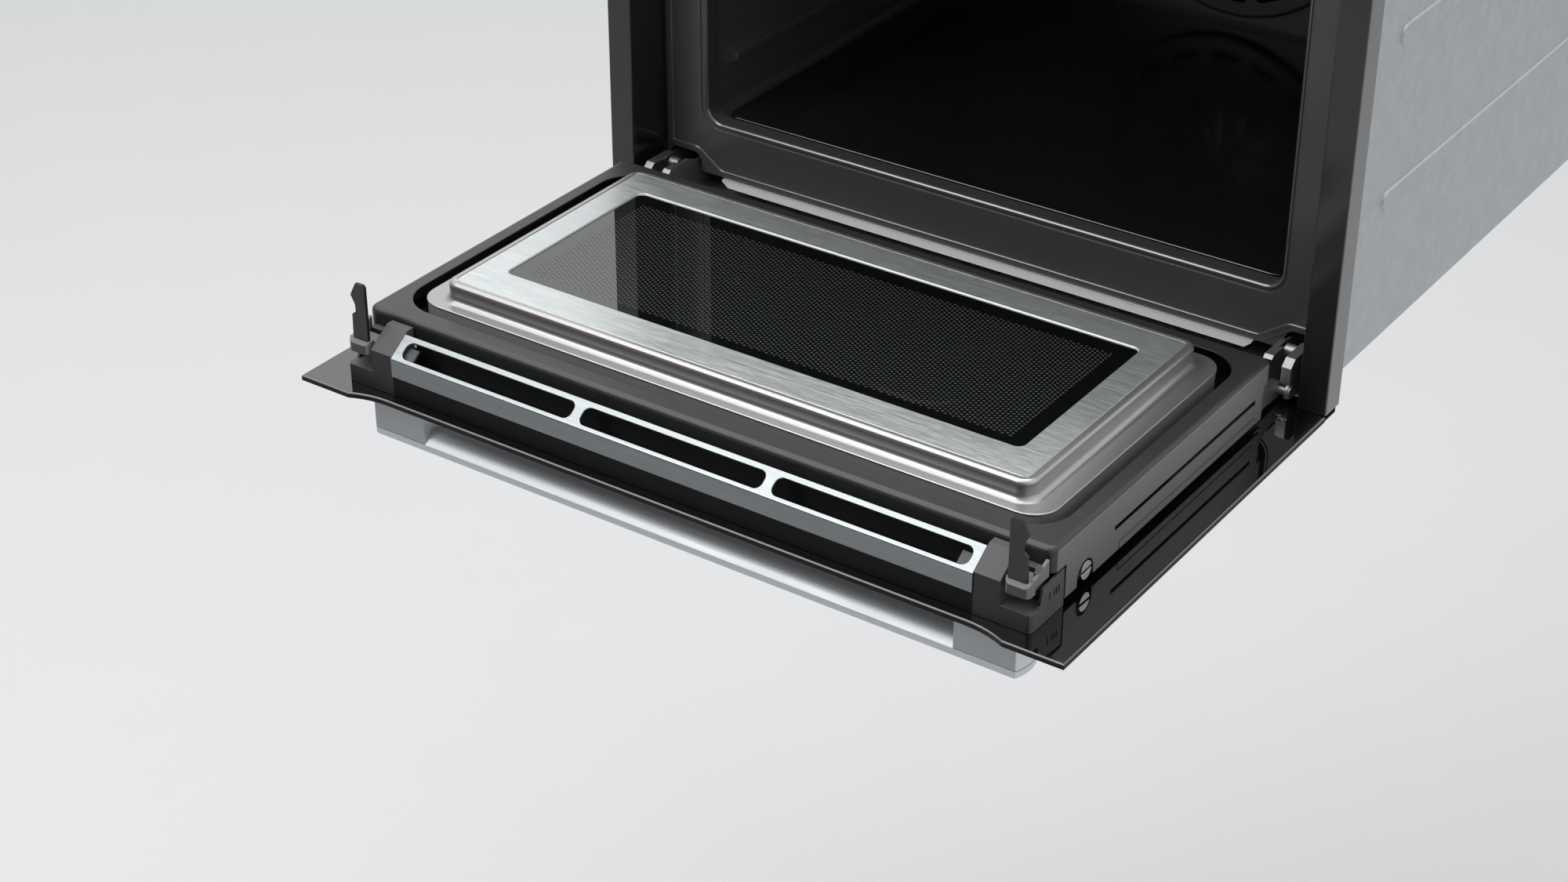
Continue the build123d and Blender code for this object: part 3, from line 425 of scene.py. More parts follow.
@dataclass(frozen=True)
class Brushed(Finish):
    """Metal with fine lines along one axis, with optional painted shade on the faces that look along Y."""

    colour: Colour
    roughness: float
    along: Axis = Axis.X
    contrast: float = 0.16
    edge: float = 0.0004
    metallic: float = 1.0
    fine: Flat = (22.0, 2600.0)
    broad: Flat = (7.0, 420.0)
    fine_share: float = 0.65
    limits: Flat = (0.25, 0.75)
    gloss: float = 0.16
    # How light the faces that look along Y stay under their painted shade
    front_shade: float = 1.0
    relief: float = 0.10
    depth: float = 0.0002

    def make(self, graph: Graph) -> bpy.types.Material:
        """Builds the material.

        Args:
            graph: the empty node tree.

        Returns:
            The finished material.
        """
        streak = self.streak(graph, graph.place())
        # Painted shade darkens the faces that look along Y
        return graph.close({
            "Base Color": graph.shade_fronts(graph.varied(streak, self.colour, self.contrast), self.front_shade),
            "Metallic": self.metallic,
            "Roughness": self.roughness + streak.swing(self.gloss),
            "Normal": graph.relief(streak, self.relief, self.depth, self.edge),
        })

    def streak(self, graph: Graph, place: Wire) -> Wire:
        """Fine and broad lines along the brushing.

        Args:
            graph: the material's node tree.
            place: where a point lies.

        Returns:
            The wire of the lines, from zero to one.
        """
        fine = graph.noise(graph.stretched(place, self.scale(*self.fine)), detail=3.0)
        broad = graph.noise(graph.stretched(place, self.scale(*self.broad)))
        return (fine * self.fine_share + broad * (1 - self.fine_share)).step(*self.limits)

    def scale(self, along: float, across: float) -> Point:
        """Scales that stretch a pattern along the brushing."""
        return tuple(along if axis is self.along else across for axis in Axis)


@dataclass(frozen=True)
class Pressed(Brushed):
    """A pressing with a brushed plate inside a seam and a smoother, warmer border."""

    middle: Flat = (0.0, -0.185)
    plate: Flat = (0.2234, 0.1019)
    seam: float = 0.0004
    border: Colour = (0.41, 0.402, 0.396)
    border_contrast: float = 0.03
    border_roughness: float = 0.32

    def make(self, graph: Graph) -> bpy.types.Material:
        """Builds the material.

        Args:
            graph: the empty node tree.

        Returns:
            The finished material.
        """
        place = graph.place()
        streak = self.streak(graph, place)
        outer = graph.beyond(place, self.middle, self.plate).step(0.0, self.seam)
        plate = graph.varied(streak, self.colour, self.contrast)
        # Painted shade darkens the border's faces that look along Y
        border = graph.shade_fronts(graph.varied(streak, self.border, self.border_contrast), self.front_shade)
        rougher = self.roughness - self.border_roughness + streak.swing(self.gloss)
        return graph.close({
            "Base Color": graph.mix(outer, plate, border),
            "Metallic": self.metallic,
            "Roughness": self.border_roughness + (1 - outer) * rougher,
            "Normal": graph.relief(streak * (1 - outer), self.relief, self.depth, self.edge),
        })


@dataclass(frozen=True)
class Plated(Finish):
    """Plain or plated steel with a cloudy bloom and rolling marks."""

    colour: Colour
    roughness: float
    edge: float = 0.0004
    metallic: float = 1.0
    bloom: float = 0.2
    bloom_scale: float = 60.0
    bloom_gloss: float = 0.1
    rolling: Point = (900.0, 60.0, 900.0)
    rolling_gloss: float = 0.06
    rolling_relief: float = 0.06
    rolling_depth: float = 0.0002

    def make(self, graph: Graph) -> bpy.types.Material:
        """Builds the material.

        Args:
            graph: the empty node tree.

        Returns:
            The finished material.
        """
        place = graph.place()
        bloom = graph.noise(place, self.bloom_scale, detail=5.0)
        marks = graph.noise(graph.stretched(place, self.rolling))
        return graph.close({
            "Base Color": graph.varied(bloom, self.colour, self.bloom),
            "Metallic": self.metallic,
            "Roughness": self.roughness + bloom.swing(self.bloom_gloss) + marks.swing(self.rolling_gloss),
            "Normal": graph.relief(marks, self.rolling_relief, self.rolling_depth, self.edge),
        })


@dataclass(frozen=True)
class Galvanised(Finish):
    """Hot-dipped sheet with its crystal spangle."""

    colour: Colour = (0.50, 0.512, 0.518)
    tones: Flat = (0.93, 1.06)
    spangle: float = 110.0
    spangle_share: float = 0.7
    bend: float = 0.006
    bend_scale: float = 90.0
    frost_scale: float = 240.0
    roughness: float = 0.46
    spangle_gloss: float = 0.05
    frost_gloss: float = 0.06
    frost_relief: float = 0.05
    frost_depth: float = 0.0003
    edge: float = 0.0006

    def make(self, graph: Graph) -> bpy.types.Material:
        """Builds the material.

        Args:
            graph: the empty node tree.

        Returns:
            The finished material.
        """
        place = graph.place()
        inputs = {"Vector": place, "Scale": self.bend_scale}
        wobble = graph.node("ShaderNodeTexNoise", inputs=inputs, output="Color")
        shift = graph.stretched(wobble, (self.bend,) * len(Axis))
        bent = graph.node("ShaderNodeVectorMath", {"operation": "ADD"}, {0: place, 1: shift})
        crystal = graph.split(graph.cells(bent, self.spangle))[0]
        frost = graph.noise(place, self.frost_scale, detail=3.0)
        tone = crystal * self.spangle_share + frost * (1 - self.spangle_share)
        dark, light = (shaded(self.colour, factor) for factor in self.tones)
        return graph.close({
            "Base Color": graph.mix(tone, dark, light),
            "Metallic": 1.0,
            "Roughness": self.roughness + crystal * self.spangle_gloss + frost * self.frost_gloss,
            "Normal": graph.relief(frost, self.frost_relief, self.frost_depth, self.edge),
        })


@dataclass(frozen=True)
class Moulded(Finish):
    """Moulded plastic with a spark-eroded grain, with optional painted shade on the faces that look along Y.
    """

    colour: Colour
    roughness: float
    grain: float = 0.12
    edge: float = 0.0004
    gloss: float = 0.5
    # How light the faces that look along Y stay under their painted shade
    front_shade: float = 1.0
    grain_scale: float = 2200.0
    grain_gloss: float = 0.12
    grain_depth: float = 0.0003
    cloud: float = 0.12
    cloud_scale: float = 25.0

    def make(self, graph: Graph) -> bpy.types.Material:
        """Builds the material.

        Args:
            graph: the empty node tree.

        Returns:
            The finished material.
        """
        place = graph.place()
        grain = graph.noise(place, self.grain_scale)
        cloud = graph.noise(place, self.cloud_scale)
        # Painted shade darkens the faces that look along Y
        return graph.close({
            "Base Color": graph.shade_fronts(graph.varied(cloud, self.colour, self.cloud), self.front_shade),
            "Roughness": self.roughness + grain.swing(self.grain_gloss),
            "Specular IOR Level": self.gloss,
            "Normal": graph.relief(grain, self.grain, self.grain_depth, self.edge),
        })


@dataclass(frozen=True)
class BlackPane(Finish):
    """Black printed glass with a ground bevel, dull cut edges and a calmer outer face."""

    face: Axis
    colour: Colour = (0.0025, 0.0026, 0.0028)
    roughness: float = 0.02
    ior: float = 2.3
    smear_scale: Point = (6.0, 9.0, 9.0)
    smear: Flat = (0.45, 0.8)
    smear_gloss: float = 0.03
    bevel: Colour = (0.012, 0.013, 0.013)
    bevel_start: Flat = (0.5, 0.6)
    bevel_end: Flat = (0.82, 0.9)
    bevel_gloss: float = 0.5
    cut: Colour = (0.006, 0.0065, 0.0068)
    cut_dim: float = 0.7
    cut_end: Flat = (0.3, 0.5)
    cut_roughness: float = 0.4
    cut_gloss: float = 0.12
    outside: Flat = (0.5, 0.9)
    veil: float = 0.62

    def make(self, graph: Graph) -> bpy.types.Material:
        """Builds the material.

        Args:
            graph: the empty node tree.

        Returns:
            The finished material.
        """
        smear = graph.noise(graph.stretched(graph.place(), self.smear_scale), detail=4.0)
        normal = graph.normal(self.face)
        square = abs(normal)
        bevel = square.step(*self.bevel_start) * (1 - square.step(*self.bevel_end))
        smeared = smear.step(*self.smear) * self.smear_gloss
        glass = {
            "Base Color": graph.mix(bevel, self.colour, self.bevel),
            "Roughness": self.roughness + smeared + bevel * self.bevel_gloss,
            "IOR": self.ior,
        }
        dull = {
            "Base Color": graph.mix(smear, shaded(self.cut, self.cut_dim), self.cut),
            "Roughness": self.cut_roughness,
            "Specular IOR Level": self.cut_gloss,
        }
        cut = 1 - square.step(*self.cut_end)
        return graph.close(glass, dull, cut + (-normal).step(*self.outside) * self.veil)


@dataclass(frozen=True)
class WindowPane(Finish):
    """Tinted inner pane with a printed black border and rows of printed dots."""

    middle: Flat
    clear: Flat
    colour: Colour = (0.003, 0.0033, 0.0033)
    tint: float = 0.8
    print_edge: float = 0.0004
    pitch: float = 0.0034
    dot: float = 0.27
    dot_edge: float = 0.12
    dot_colour: Colour = (0.06, 0.064, 0.064)
    roughness: float = 0.015
    ior: float = 2.1
    smear_scale: float = 12.0
    smear_gloss: float = 0.02

    def make(self, graph: Graph) -> bpy.types.Material:
        """Builds the material.

        Args:
            graph: the empty node tree.

        Returns:
            The finished material.
        """
        place = graph.place()
        printed = graph.beyond(place, self.middle, self.clear).step(-self.print_edge, self.print_edge)
        away = graph.dots(place, self.pitch)
        dot = (1 - away.step(self.dot - self.dot_edge, self.dot + self.dot_edge)) * (1 - printed)
        smear = graph.noise(place, self.smear_scale, detail=3.0)
        return graph.close({
            "Base Color": graph.mix(dot, self.colour, self.dot_colour),
            "Roughness": self.roughness + smear * self.smear_gloss,
            "IOR": self.ior,
            "Alpha": self.tint + printed.largest(dot) * (1 - self.tint),
        })


@dataclass(frozen=True)
class Perforated(Finish):
    """Black sheet with close round holes in staggered rows."""

    pitch: float = 0.0032
    hole: float = 0.36
    hole_edge: float = 0.06
    hole_colour: Colour = (0.002, 0.002, 0.002)
    colour: Colour = (0.075, 0.078, 0.08)
    roughness: float = 0.65
    gloss: float = 0.2
    relief: float = 0.5
    depth: float = 0.0004

    def make(self, graph: Graph) -> bpy.types.Material:
        """Builds the material.

        Args:
            graph: the empty node tree.

        Returns:
            The finished material.
        """
        away = graph.dots(graph.place(), self.pitch)
        web = away.step(self.hole - self.hole_edge, self.hole + self.hole_edge)
        return graph.close({
            "Base Color": graph.mix(web, self.hole_colour, self.colour),
            "Roughness": self.roughness - web * self.gloss,
            "Normal": graph.relief(web, self.relief, self.depth),
        })


@dataclass(frozen=True)
class Board(Finish):
    """Printed circuit board with a solder mask and fine tracks."""

    mask: Colour = (0.012, 0.09, 0.045)
    track: Colour = (0.03, 0.17, 0.08)
    track_run: Point = (40.0, 40.0, 700.0)
    track_edge: Flat = (0.52, 0.56)
    field_scale: float = 140.0
    bare_fields: float = 0.4
    roughness: float = 0.35
    track_gloss: float = 0.1
    relief: float = 0.2
    depth: float = 0.0001
    edge: float = 0.0003

    def make(self, graph: Graph) -> bpy.types.Material:
        """Builds the material.

        Args:
            graph: the empty node tree.

        Returns:
            The finished material.
        """
        place = graph.place()
        field = graph.split(graph.cells(place, self.field_scale))[1]
        lines = graph.noise(graph.stretched(place, self.track_run), detail=1.0).step(*self.track_edge)
        track = lines * (field > self.bare_fields)
        return graph.close({
            "Base Color": graph.mix(track, self.mask, self.track),
            "Roughness": self.roughness + track * self.track_gloss,
            "Normal": graph.relief(track, self.relief, self.depth, self.edge),
        })


@dataclass(frozen=True)
class Glow(Finish):
    """Lit segments of the clock."""

    colour: Colour = (0.85, 0.93, 1.0)
    dim: float = 0.8
    unlit: Colour = (0.02, 0.02, 0.02)
    roughness: float = 0.3
    strength: float = 0.9
    scale: float = 300.0

    def make(self, graph: Graph) -> bpy.types.Material:
        """Builds the material.

        Args:
            graph: the empty node tree.

        Returns:
            The finished material.
        """
        uneven = graph.noise(graph.place(), self.scale, detail=1.0)
        return graph.close({
            "Base Color": rgba(self.unlit),
            "Roughness": self.roughness,
            "Emission Color": graph.mix(uneven, shaded(self.colour, self.dim), self.colour),
            "Emission Strength": self.strength,
        })


class Finishes:
    """Every finish of the oven and its floor, by name."""

    PANE = BlackPane("black_pane", Axis.Z)
    FASCIA_PANE = BlackPane("fascia_pane", Axis.Y)
    WINDOW = WindowPane("window_pane", (0.0, -0.1855), (0.190, 0.0635))
    SCREEN = Perforated("perforated_screen")
    # The front values below paint shade on faces that look along Y, and the door paint's side value paints
    # light on its outer side walls
    DOOR_PAINT = Paint(
        "charcoal_paint", (0.026, 0.0263, 0.0268), 0.4, edge=0.0011, ior=1.52, front_shade=0.5, side=5.0,
        lit_side_from=0.2663,
    )
    TRIM_PAINT = Paint("black_gloss_paint", (0.010, 0.0105, 0.011), 0.2, peel=0.02, coat=0.6)
    ENAMEL = Paint("black_enamel", (0.055, 0.0555, 0.056), 0.3, peel=0.02, coat=1.0, speckle=0.03, ior=1.42)
    # The cavity's enamel is the black enamel painted lighter, as painted light inside the cavity
    LIT_LINING = Paint(
        "lit_cavity_enamel", (0.075, 0.0757, 0.0763), 0.3, peel=0.02, coat=1.0, speckle=0.03, ior=1.42,
    )
    PANEL = Pressed(
        "brushed_panel", (0.58, 0.61, 0.605), 0.38, contrast=0.10, metallic=0.82, fine=(90.0, 1500.0),
        broad=(30.0, 500.0), edge=0.0006, front_shade=0.5,
    )
    RAIL = Brushed("brushed_rail", (0.335, 0.36, 0.367), 0.34, front_shade=0.55)
    HANDLE = Brushed("satin_aluminium", (0.66, 0.68, 0.705), 0.5, contrast=0.06, metallic=0.72, front_shade=0.46)
    # The bar is the posts' satin aluminium with a lighter front value: less painted shade on its front
    BAR = Brushed("satin_bar", (0.66, 0.68, 0.705), 0.5, contrast=0.08, metallic=0.72, front_shade=0.72)
    STRIP = Brushed(
        "bright_strip", (0.82, 0.83, 0.82), 0.36, contrast=0.04, relief=0.01, edge=0.0, metallic=0.45,
    )
    SCREW = Plated("bright_screw", (0.92, 0.93, 0.92), 0.26, bloom=0.04)
    ZINC = Plated("zinc_plate", (0.36, 0.365, 0.36), 0.48, bloom=0.1)
    DARK_STEEL = Plated("dark_steel", (0.04, 0.04, 0.04), 0.42, metallic=0.75)
    SHEET = Galvanised("galvanised_sheet")
    CAP = Moulded("dark_plastic", (0.075, 0.0757, 0.077), 0.44, front_shade=0.16, gloss=0.3)
    RING = Moulded("ring_plastic", (0.22, 0.222, 0.225), 0.5)
    LEVER = Moulded("lever_plastic", (0.15, 0.152, 0.155), 0.42, front_shade=0.22, gloss=0.35)
    BLACK = Moulded("black_plastic", (0.003, 0.003, 0.0032), 0.5, gloss=0.12)
    CERAMIC = Paint("floor_ceramic", (0.008, 0.008, 0.0085), 0.16, peel=0.01, coat=0.4, speckle=0.1)
    HEATER = Plated("heater_steel", (0.20, 0.17, 0.15), 0.45)
    ALUMINIUM = Plated("bare_aluminium", (0.74, 0.75, 0.76), 0.36)
    CIRCUIT = Board("circuit_board")
    LENS = Moulded("lamp_lens", (0.62, 0.62, 0.58), 0.3, grain=0.3)
    GLOW = Glow("clock_glow")
    FLOOR = Paint("pale_floor", (0.56, 0.56, 0.563), 0.8, peel=0.01, edge=0.0, cloud=0.01)


def added(name: str, shape: bmesh.types.BMesh, finish: Finish) -> bpy.types.Object:
    """Turns a mesh into an object of the scene.

    Args:
        name: the object's name.
        shape: the mesh in the oven's frame.
        finish: what it is made of.

    Returns:
        The new object.
    """
    mesh = bpy.data.meshes.new(name)
    shape.to_mesh(mesh)
    shape.free()
    made = bpy.data.objects.new(name, mesh)
    bpy.context.scene.collection.objects.link(made)
    mesh.materials.append(finish.material())
    return made


def band(
    shape: bmesh.types.BMesh, first: Sequence[bmesh.types.BMVert], second: Sequence[bmesh.types.BMVert],
) -> None:
    """Joins two closed rings of corners with a band of faces.

    Args:
        shape: the mesh to add to.
        first: corners of one ring, in order.
        second: corners of the other ring, in the same order.
    """
    for index in range(len(first)):
        after = (index + 1) % len(first)
        shape.faces.new((first[after], first[index], second[index], second[after]))


def prism(shape: bmesh.types.BMesh, outline: Sequence[Point], along: Point) -> None:
    """Adds a closed prism to a mesh.

    Args:
        shape: the mesh to add to.
        outline: corners of one end, in order.
        along: from that end to the other.
    """
    shift = Vector(along)
    near = [shape.verts.new(Vector(point)) for point in outline]
    far = [shape.verts.new(Vector(point) + shift) for point in outline]
    shape.faces.new(near)
    shape.faces.new(far[::-1])
    band(shape, near, far)


def rounded(half: Flat, middle: Flat, corner: float, steps: int = 8) -> List[Flat]:
    """Points round a rectangle with rounded corners.

    Args:
        half: half of its width and height.
        middle: its middle.
        corner: radius of its corners.
        steps: sections in each corner.

    Returns:
        The points in order.
    """
    points = []
    for turn, (i, j) in enumerate(CORNERS):
        centre = middle[0] + i * (half[0] - corner), middle[1] + j * (half[1] - corner)
        for step in range(steps + 1):
            angle = (turn + step / steps) * math.pi / 2
            points.append((centre[0] + corner * math.cos(angle), centre[1] + corner * math.sin(angle)))
    return points


class Assembly:
    """Shared ways to dress the CAD nodes of a sub-assembly and to add pieces to it."""

    body = "casing"

    def coats(self) -> Dict[Finish, Sequence[str]]:
        """Which CAD nodes have which finish."""
        raise NotImplementedError

    def details(self) -> Iterable[bpy.types.Object]:
        """Makes the fine pieces that the CAD leaves to the looks."""
        return ()

    def build(self) -> None:
        """Dresses the nodes and adds the fine pieces."""
        for finish, nodes in self.coats().items():
            for node in nodes:
                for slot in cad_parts[node].material_slots:
                    slot.material = finish.material()
                LOG.info("%s has %s", node, finish.name)
        for piece in self.details():
            LOG.info("added %s", piece.name)

    def piece(self, name: str, shape: bmesh.types.BMesh, finish: Finish, slot: str) -> bpy.types.Object:
        """Turns a mesh into a piece that moves with the sub-assembly's body.

        Args:
            name: the piece's name.
            shape: the mesh in the oven's frame.
            finish: what it is made of.
            slot: not used.

        Returns:
            The new piece.
        """
        bmesh.ops.recalc_face_normals(shape, faces=shape.faces)
        made = added(name, shape, finish)
        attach(made, self.body)
        return made


@dataclass
class Door(Assembly):
    """The drop-down door with its pane, frame, rail, panel, window and handle."""

    body = "door"
    window_half: Flat = (0.2027, 0.076)
    window_middle: Flat = (0.0, -0.183)
    window_corner: float = 0.006
    highlight_edge: Flat = (0.0005, 0.0009)
    panel_top: float = 0.061
    screw: Point = (0.2652, -0.2865, 0.0115)
    screw_radius: float = 0.0062
    screw_height: float = 0.0014
    screw_slot: float = 0.0021
    screw_turn: float = 2.0
    screw_steps: int = 16

    def coats(self) -> Dict[Finish, Sequence[str]]:
        """Which CAD nodes have which finish.

        Returns:
            The nodes of each finish.
        """
        return {
            Finishes.PANE: ["door_glass"],
            Finishes.DOOR_PAINT: ["door_frame"],
            Finishes.RAIL: ["vent_rail"],
            Finishes.BLACK: ["air_duct", "door_tray"],
            Finishes.RING: ["choke_ring"],
            Finishes.CAP: ["end_cap_right", "end_cap_left"],
            Finishes.PANEL: ["inner_panel"],
            Finishes.WINDOW: ["window_glass"],
            Finishes.SCREEN: ["mesh_screen"],
            Finishes.SCREW: ["door_screws"],
            Finishes.ZINC: ["handle_screws", "latch_pins", "hinge_channel_right", "hinge_channel_left"],
            Finishes.HANDLE: ["handle_posts"],
            Finishes.BAR: ["handle_bar"],
        }

    def details(self) -> Iterable[bpy.types.Object]:
        """Makes the slotted screw heads and a thin sloped edge in the window, in the bright strip finish as
        a painted highlight along that edge.

        Returns:
            The pieces made.
        """
        heads = self.piece("screw_heads", self.heads(), Finishes.SCREW, "zinc_steel")
        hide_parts("door_screws")
        # The window's sloped edge takes the bright strip finish as a painted highlight
        return [heads, self.piece("window_edge_highlight", self.rim(), Finishes.STRIP, "silver_strip")]

    def rim(self) -> bmesh.types.BMesh:
        """Models a thin sloping edge inside the window of the panel.

        Returns:
            The mesh.
        """
        shape = bmesh.new()
        inset, depth = self.highlight_edge
        inner = tuple(half - inset for half in self.window_half)
        outside = rounded(self.window_half, self.window_middle, self.window_corner)
        inside = rounded(inner, self.window_middle, self.window_corner - inset)
        low = self.panel_top - depth
        rings = [
            [shape.verts.new((x, y, z)) for x, y in points]
            for points, z in ((outside, self.panel_top), (inside, low), (outside, low))
        ]
        for first, second in zip(rings, rings[1:] + rings[:1]):
            band(shape, first, second)
        return shape

    def heads(self) -> bmesh.types.BMesh:
        """Models round screw heads that a slot parts into two halves, on both sides of the door.

        Returns:
            The mesh.
        """
        shape = bmesh.new()
        x, y, z = self.screw
        radius = self.screw_radius
        edge = math.asin(self.screw_slot / 2 / radius)
        sweep = (math.pi - 2 * edge) / self.screw_steps
        for side in (1, -1):
            for half in (0.0, math.pi):
                start = half + edge + math.radians(self.screw_turn)
                angles = [start + sweep * step for step in range(self.screw_steps + 1)]
                outline = [
                    (side * x, y + radius * math.cos(angle), z + radius * math.sin(angle))
                    for angle in angles
                ]
                prism(shape, outline, (side * self.screw_height, 0, 0))
        return shape


class Latches(Assembly):
    """The two sprung levers with their hook plates."""

    def coats(self) -> Dict[Finish, Sequence[str]]:
        """Which CAD nodes have which finish.

        Returns:
            The nodes of each finish.
        """
        return {
            Finishes.LEVER: ["latch_lever_right", "latch_lever_left"],
            Finishes.DARK_STEEL: ["latch_hook_right", "latch_hook_left"],
        }


@dataclass
class Front(Assembly):
    """The front frame, its trims, the threshold strip and the fixed hinge halves."""

    sill_half: float = 0.2945
    sill: Sequence[Flat] = (
        (0.0015, -0.0001), (0.0015, -0.0070), (-0.0186, -0.0070), (-0.0192, -0.0066), (-0.0192, -0.0062),
        (-0.0186, -0.0058), (0.0, -0.0058), (0.0, -0.0001),
    )

    def coats(self) -> Dict[Finish, Sequence[str]]:
        """Which CAD nodes have which finish.

        Returns:
            The nodes of each finish.
        """
        return {
            Finishes.ENAMEL: ["front_frame"],
            Finishes.STRIP: ["threshold_strip"],
            Finishes.TRIM_PAINT: ["trim_right", "trim_left"],
            Finishes.ZINC: ["hinge_arm_right", "hinge_arm_left", "hinge_pins", "hinge_rollers"],
            Finishes.BLACK: ["interlock_right", "interlock_left"],
        }

    def details(self) -> Iterable[bpy.types.Object]:
        """Makes the dark sill that closes the gap under the hinges of the open door.

        Returns:
            The pieces made.
        """
        shape = bmesh.new()
        prism(shape, [(-self.sill_half, y, z) for y, z in self.sill], (2 * self.sill_half, 0, 0))
        return [self.piece("sill_lip", shape, Finishes.BLACK, "dark_plastic")]


@dataclass
class Fascia(Assembly):
    """The control panel with its display and turning ring."""

    # Ends of a figure's seven bars, in halves of its width and height, and the bars that make each figure
    BARS: ClassVar[Mapping[str, Sequence[Flat]]] = {
        "a": ((-1, 1), (1, 1)), "b": ((1, 1), (1, 0)), "c": ((1, 0), (1, -1)), "d": ((-1, -1), (1, -1)),
        "e": ((-1, 0), (-1, -1)), "f": ((-1, 1), (-1, 0)), "g": ((-1, 0), (1, 0)),
    }
    FIGURES: ClassVar[Mapping[str, str]] = {"0": "abcdef", "1": "bc", "2": "abged", "3": "abgcd"}

    # The bar's point and shoulder are in strokes, the colon's gap in pitches and its height in digits
    digit: Flat = (0.0085, 0.016)
    stroke: float = 0.0017
    point: float = 0.25
    shoulder: float = 0.75
    pitch: float = 0.0125
    colon_gap: float = 0.25
    colon_height: float = 0.2
    middle: Point = (0.116, -0.03, 0.407)
    skin: float = 0.00006
    time: str = "1230"

    def coats(self) -> Dict[Finish, Sequence[str]]:
        """Which CAD nodes have which finish.

        Returns:
            The nodes of each finish.
        """
        return {
            Finishes.FASCIA_PANE: ["fascia_glass", "dial_hub"],
            Finishes.BLACK: ["fascia_carrier", "display_module"],
            Finishes.HANDLE: ["control_ring"],
            Finishes.CIRCUIT: ["control_board"],
        }

    def details(self) -> Iterable[bpy.types.Object]:
        """Makes the lit clock on the pane's face.

        Returns:
            The pieces made.
        """
        shape = bmesh.new()
        centre = (len(self.time) - 1) / 2
        for index, figure in enumerate(self.time):
            gap = math.copysign(self.pitch * self.colon_gap, index - centre)
            self.figure(shape, figure, (index - centre) * self.pitch + gap)
        for sign in (-1, 1):
            self.spot(shape, sign * self.colon_height * self.digit[1])
        return [self.piece("clock_digits", shape, Finishes.GLOW, "lamp_glass")]

    def figure(self, shape: bmesh.types.BMesh, figure: str, shift: float) -> None:
        """Adds one figure of up to seven bars.

        Args:
            shape: the mesh to add to.
            figure: the digit.
            shift: its middle along the display.
        """
        wide, high = self.digit[0] / 2, self.digit[1] / 2
        for name in self.FIGURES[figure]:
            start, end = (Vector((x * wide + shift, 0, z * high)) for x, z in self.BARS[name])
            self.bar(shape, start, end)

    def bar(self, shape: bmesh.types.BMesh, start: Vector, end: Vector) -> None:
        """Adds one bar with pointed ends.

        Args:
            shape: the mesh to add to.
            start: one end, from the display's middle.
            end: the other end.
        """
        run = (end - start).normalized() * self.stroke
        side = Vector((-run.z, 0, run.x)) / 2
        point, inset = run * self.point, run * self.shoulder
        self.raised(shape, [
            start + point, start + inset + side, end - inset + side,
            end - point, end - inset - side, start + inset - side,
        ])

    def spot(self, shape: bmesh.types.BMesh, height: float) -> None:
        """Adds one square spot of the colon at a height over the display's middle."""
        half = self.stroke / 2
        self.raised(shape, [Vector((half * i, 0, height + half * j)) for i, j in CORNERS])

    def raised(self, shape: bmesh.types.BMesh, outline: Sequence[Vector]) -> None:
        """Adds a skin-thin prism over an outline that is counted from the display's middle."""
        prism(shape, [tuple(Vector(self.middle) + corner) for corner in outline], (0, -self.skin, 0))


class Casing(Assembly):
    """The sheet casing round the oven."""

    def coats(self) -> Dict[Finish, Sequence[str]]:
        """Which CAD nodes have which finish.

        Returns:
            The nodes of each finish.
        """
        return {
            Finishes.SHEET: ["base_plate", "side_panel_right", "side_panel_left", "top_cover", "rear_panel"],
            Finishes.ZINC: ["casing_screws"],
            Finishes.BLACK: ["mains_inlet"],
        }


class Cavity(Assembly):
    """The cavity and everything that heats it."""

    def coats(self) -> Dict[Finish, Sequence[str]]:
        """Which CAD nodes have which finish.

        Returns:
            The nodes of each finish.
        """
        return {
            Finishes.LIT_LINING: ["oven_cavity"],
            Finishes.ENAMEL: ["fan_baffle"],
            Finishes.CERAMIC: ["floor_plate"],
            Finishes.HEATER: ["ring_heater", "grill_element"],
            Finishes.ALUMINIUM: ["stirrer", "waveguide", "fan_wheel", "magnetron"],
            Finishes.ZINC: ["fan_motor", "stirrer_motor"],
            Finishes.CIRCUIT: ["inverter"],
            Finishes.BLACK: ["blower_housing", "blower_wheel"],
            Finishes.LENS: ["cavity_lamp"],
        }


@dataclass(frozen=True)
class Softbox:
    """A square area light that the camera doesn't see."""

    name: str
    place: Point
    target: Point
    size: float
    power: float

    def build(self) -> None:
        """Hangs the light at its place and turns it to its target."""
        lamp = bpy.data.lights.new(self.name, "AREA")
        lamp.size = self.size
        lamp.energy = self.power
        made = bpy.data.objects.new(self.name, lamp)
        made.location = self.place
        made.visible_camera = False
        made.rotation_euler = (Vector(self.target) - Vector(self.place)).to_track_quat("-Z", "Y").to_euler()
        bpy.context.scene.collection.objects.link(made)


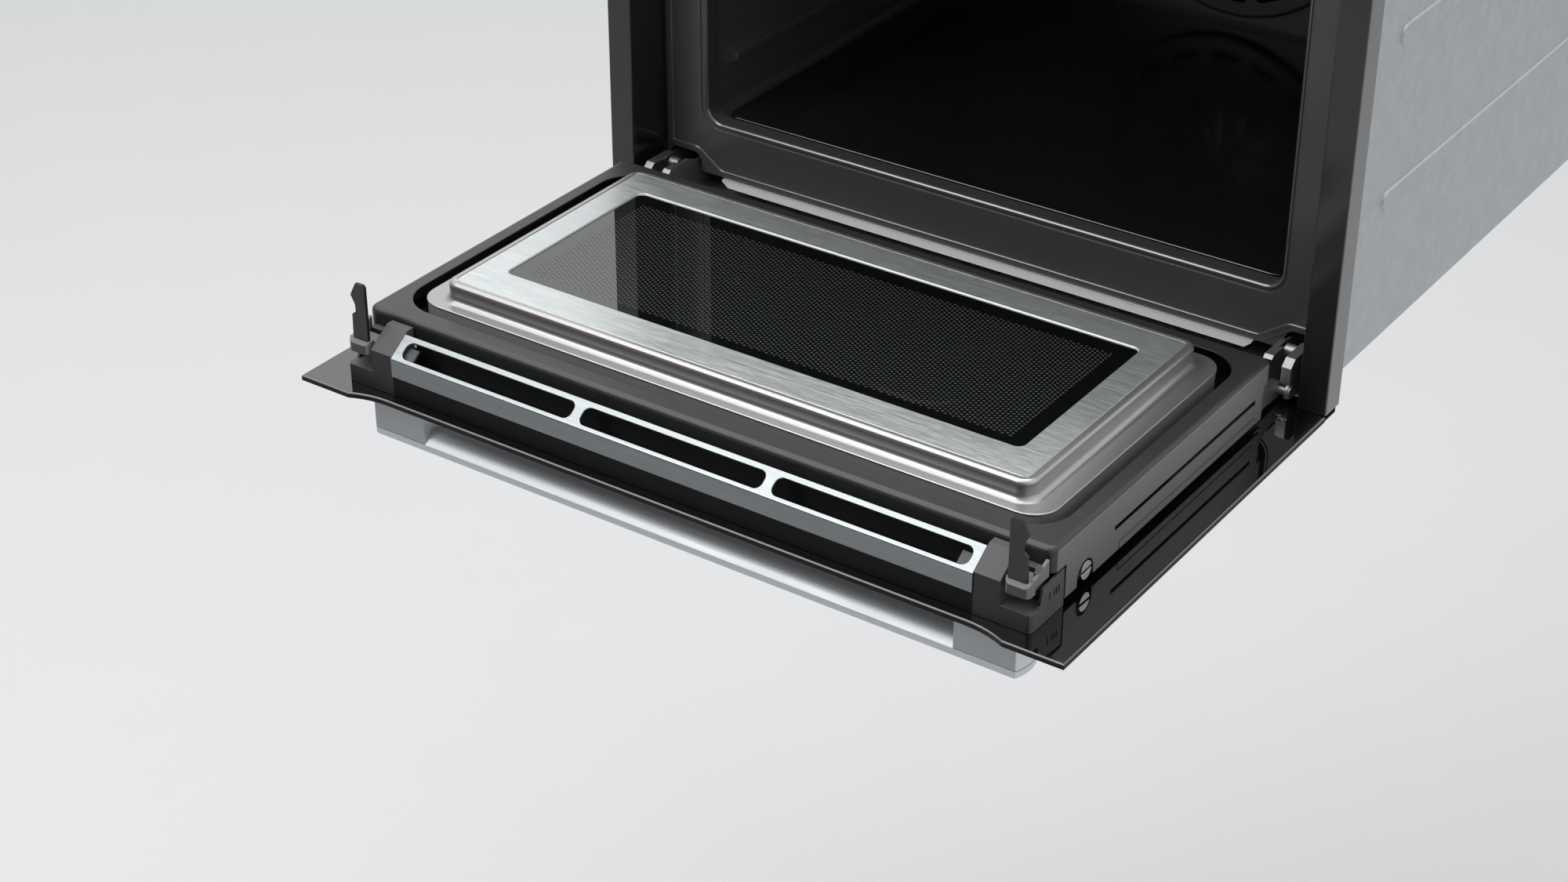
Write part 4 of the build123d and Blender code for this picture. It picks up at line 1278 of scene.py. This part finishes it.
@dataclass
class Studio:
    """The pale floor, the soft light and the camera."""

    floor_height: float = -0.9
    floor_half: float = 30.0
    softboxes: Sequence[Softbox] = (
        Softbox("overhead", (-0.8, 0.0, 3.0), (0.0, -0.2, 0.1), 3.0, 54.0),
        Softbox("key", (-0.5, 1.35, 3.3), (0.0, -0.2, 0.0), 0.5, 14.0),
        Softbox("front_left", (-1.3, -2.2, 2.2), (0.0, -0.2, 0.0), 1.5, 38.0),
    )
    tint: Tuple[float, float, float, float] = (0.97, 0.985, 1.0, 1.0)
    dim: float = 0.25
    bright: float = 0.95
    overhead: float = 0.4
    back_lean: float = 0.3
    back_edge: Flat = (-0.9, 0.4)
    overhead_edge: Flat = (0.2, 1.0)
    camera_place: Point = (0.9374, -1.5741, 0.9587)
    camera_turn: Point = (59.23, -0.086, 34.74)
    lens: float = 66.04
    sensor: float = 36.0
    reach: float = 200.0

    def build(self) -> None:
        """Adds the floor, the lights and the camera."""
        self.floor()
        self.sky()
        for softbox in self.softboxes:
            softbox.build()
        self.camera()
        bpy.context.scene.view_settings.view_transform = "Standard"

    def floor(self) -> None:
        """Adds a wide pale floor."""
        shape = bmesh.new()
        corners = [(i * self.floor_half, j * self.floor_half, self.floor_height) for i, j in CORNERS]
        shape.faces.new([shape.verts.new(corner) for corner in corners])
        made = added("floor", shape, Finishes.FLOOR)

    def sky(self) -> None:
        """Adds soft white light from above and behind, and less from the front."""
        world = bpy.data.worlds.new("studio")
        graph = Graph(world)
        x, y, z = graph.split(graph.node("ShaderNodeTexCoord", output="Generated"))
        back = (y + x * self.back_lean).step(*self.back_edge)
        glow = self.dim + back * (self.bright - self.dim) + z.step(*self.overhead_edge) * self.overhead
        background = graph.node("ShaderNodeBackground", inputs={"Color": self.tint, "Strength": glow})
        graph.node("ShaderNodeOutputWorld", inputs={"Surface": background}, output=None)
        bpy.context.scene.world = world

    def camera(self) -> None:
        """Adds the camera where the photo was taken."""
        data = bpy.data.cameras.new("camera")
        data.sensor_width = self.sensor
        data.lens = self.lens
        data.clip_end = self.reach
        made = bpy.data.objects.new("camera", data)
        made.location = self.camera_place
        made.rotation_euler = [math.radians(angle) for angle in self.camera_turn]
        bpy.context.scene.collection.objects.link(made)
        bpy.context.scene.camera = made


def main() -> None:
    """Builds the sub-assemblies and the studio in order."""
    logging.basicConfig(level=logging.INFO, format="%(message)s")
    for part in (Door(), Latches(), Front(), Fascia(), Casing(), Cavity(), Studio()):
        part.build()


if __name__ == "__main__":
    main()
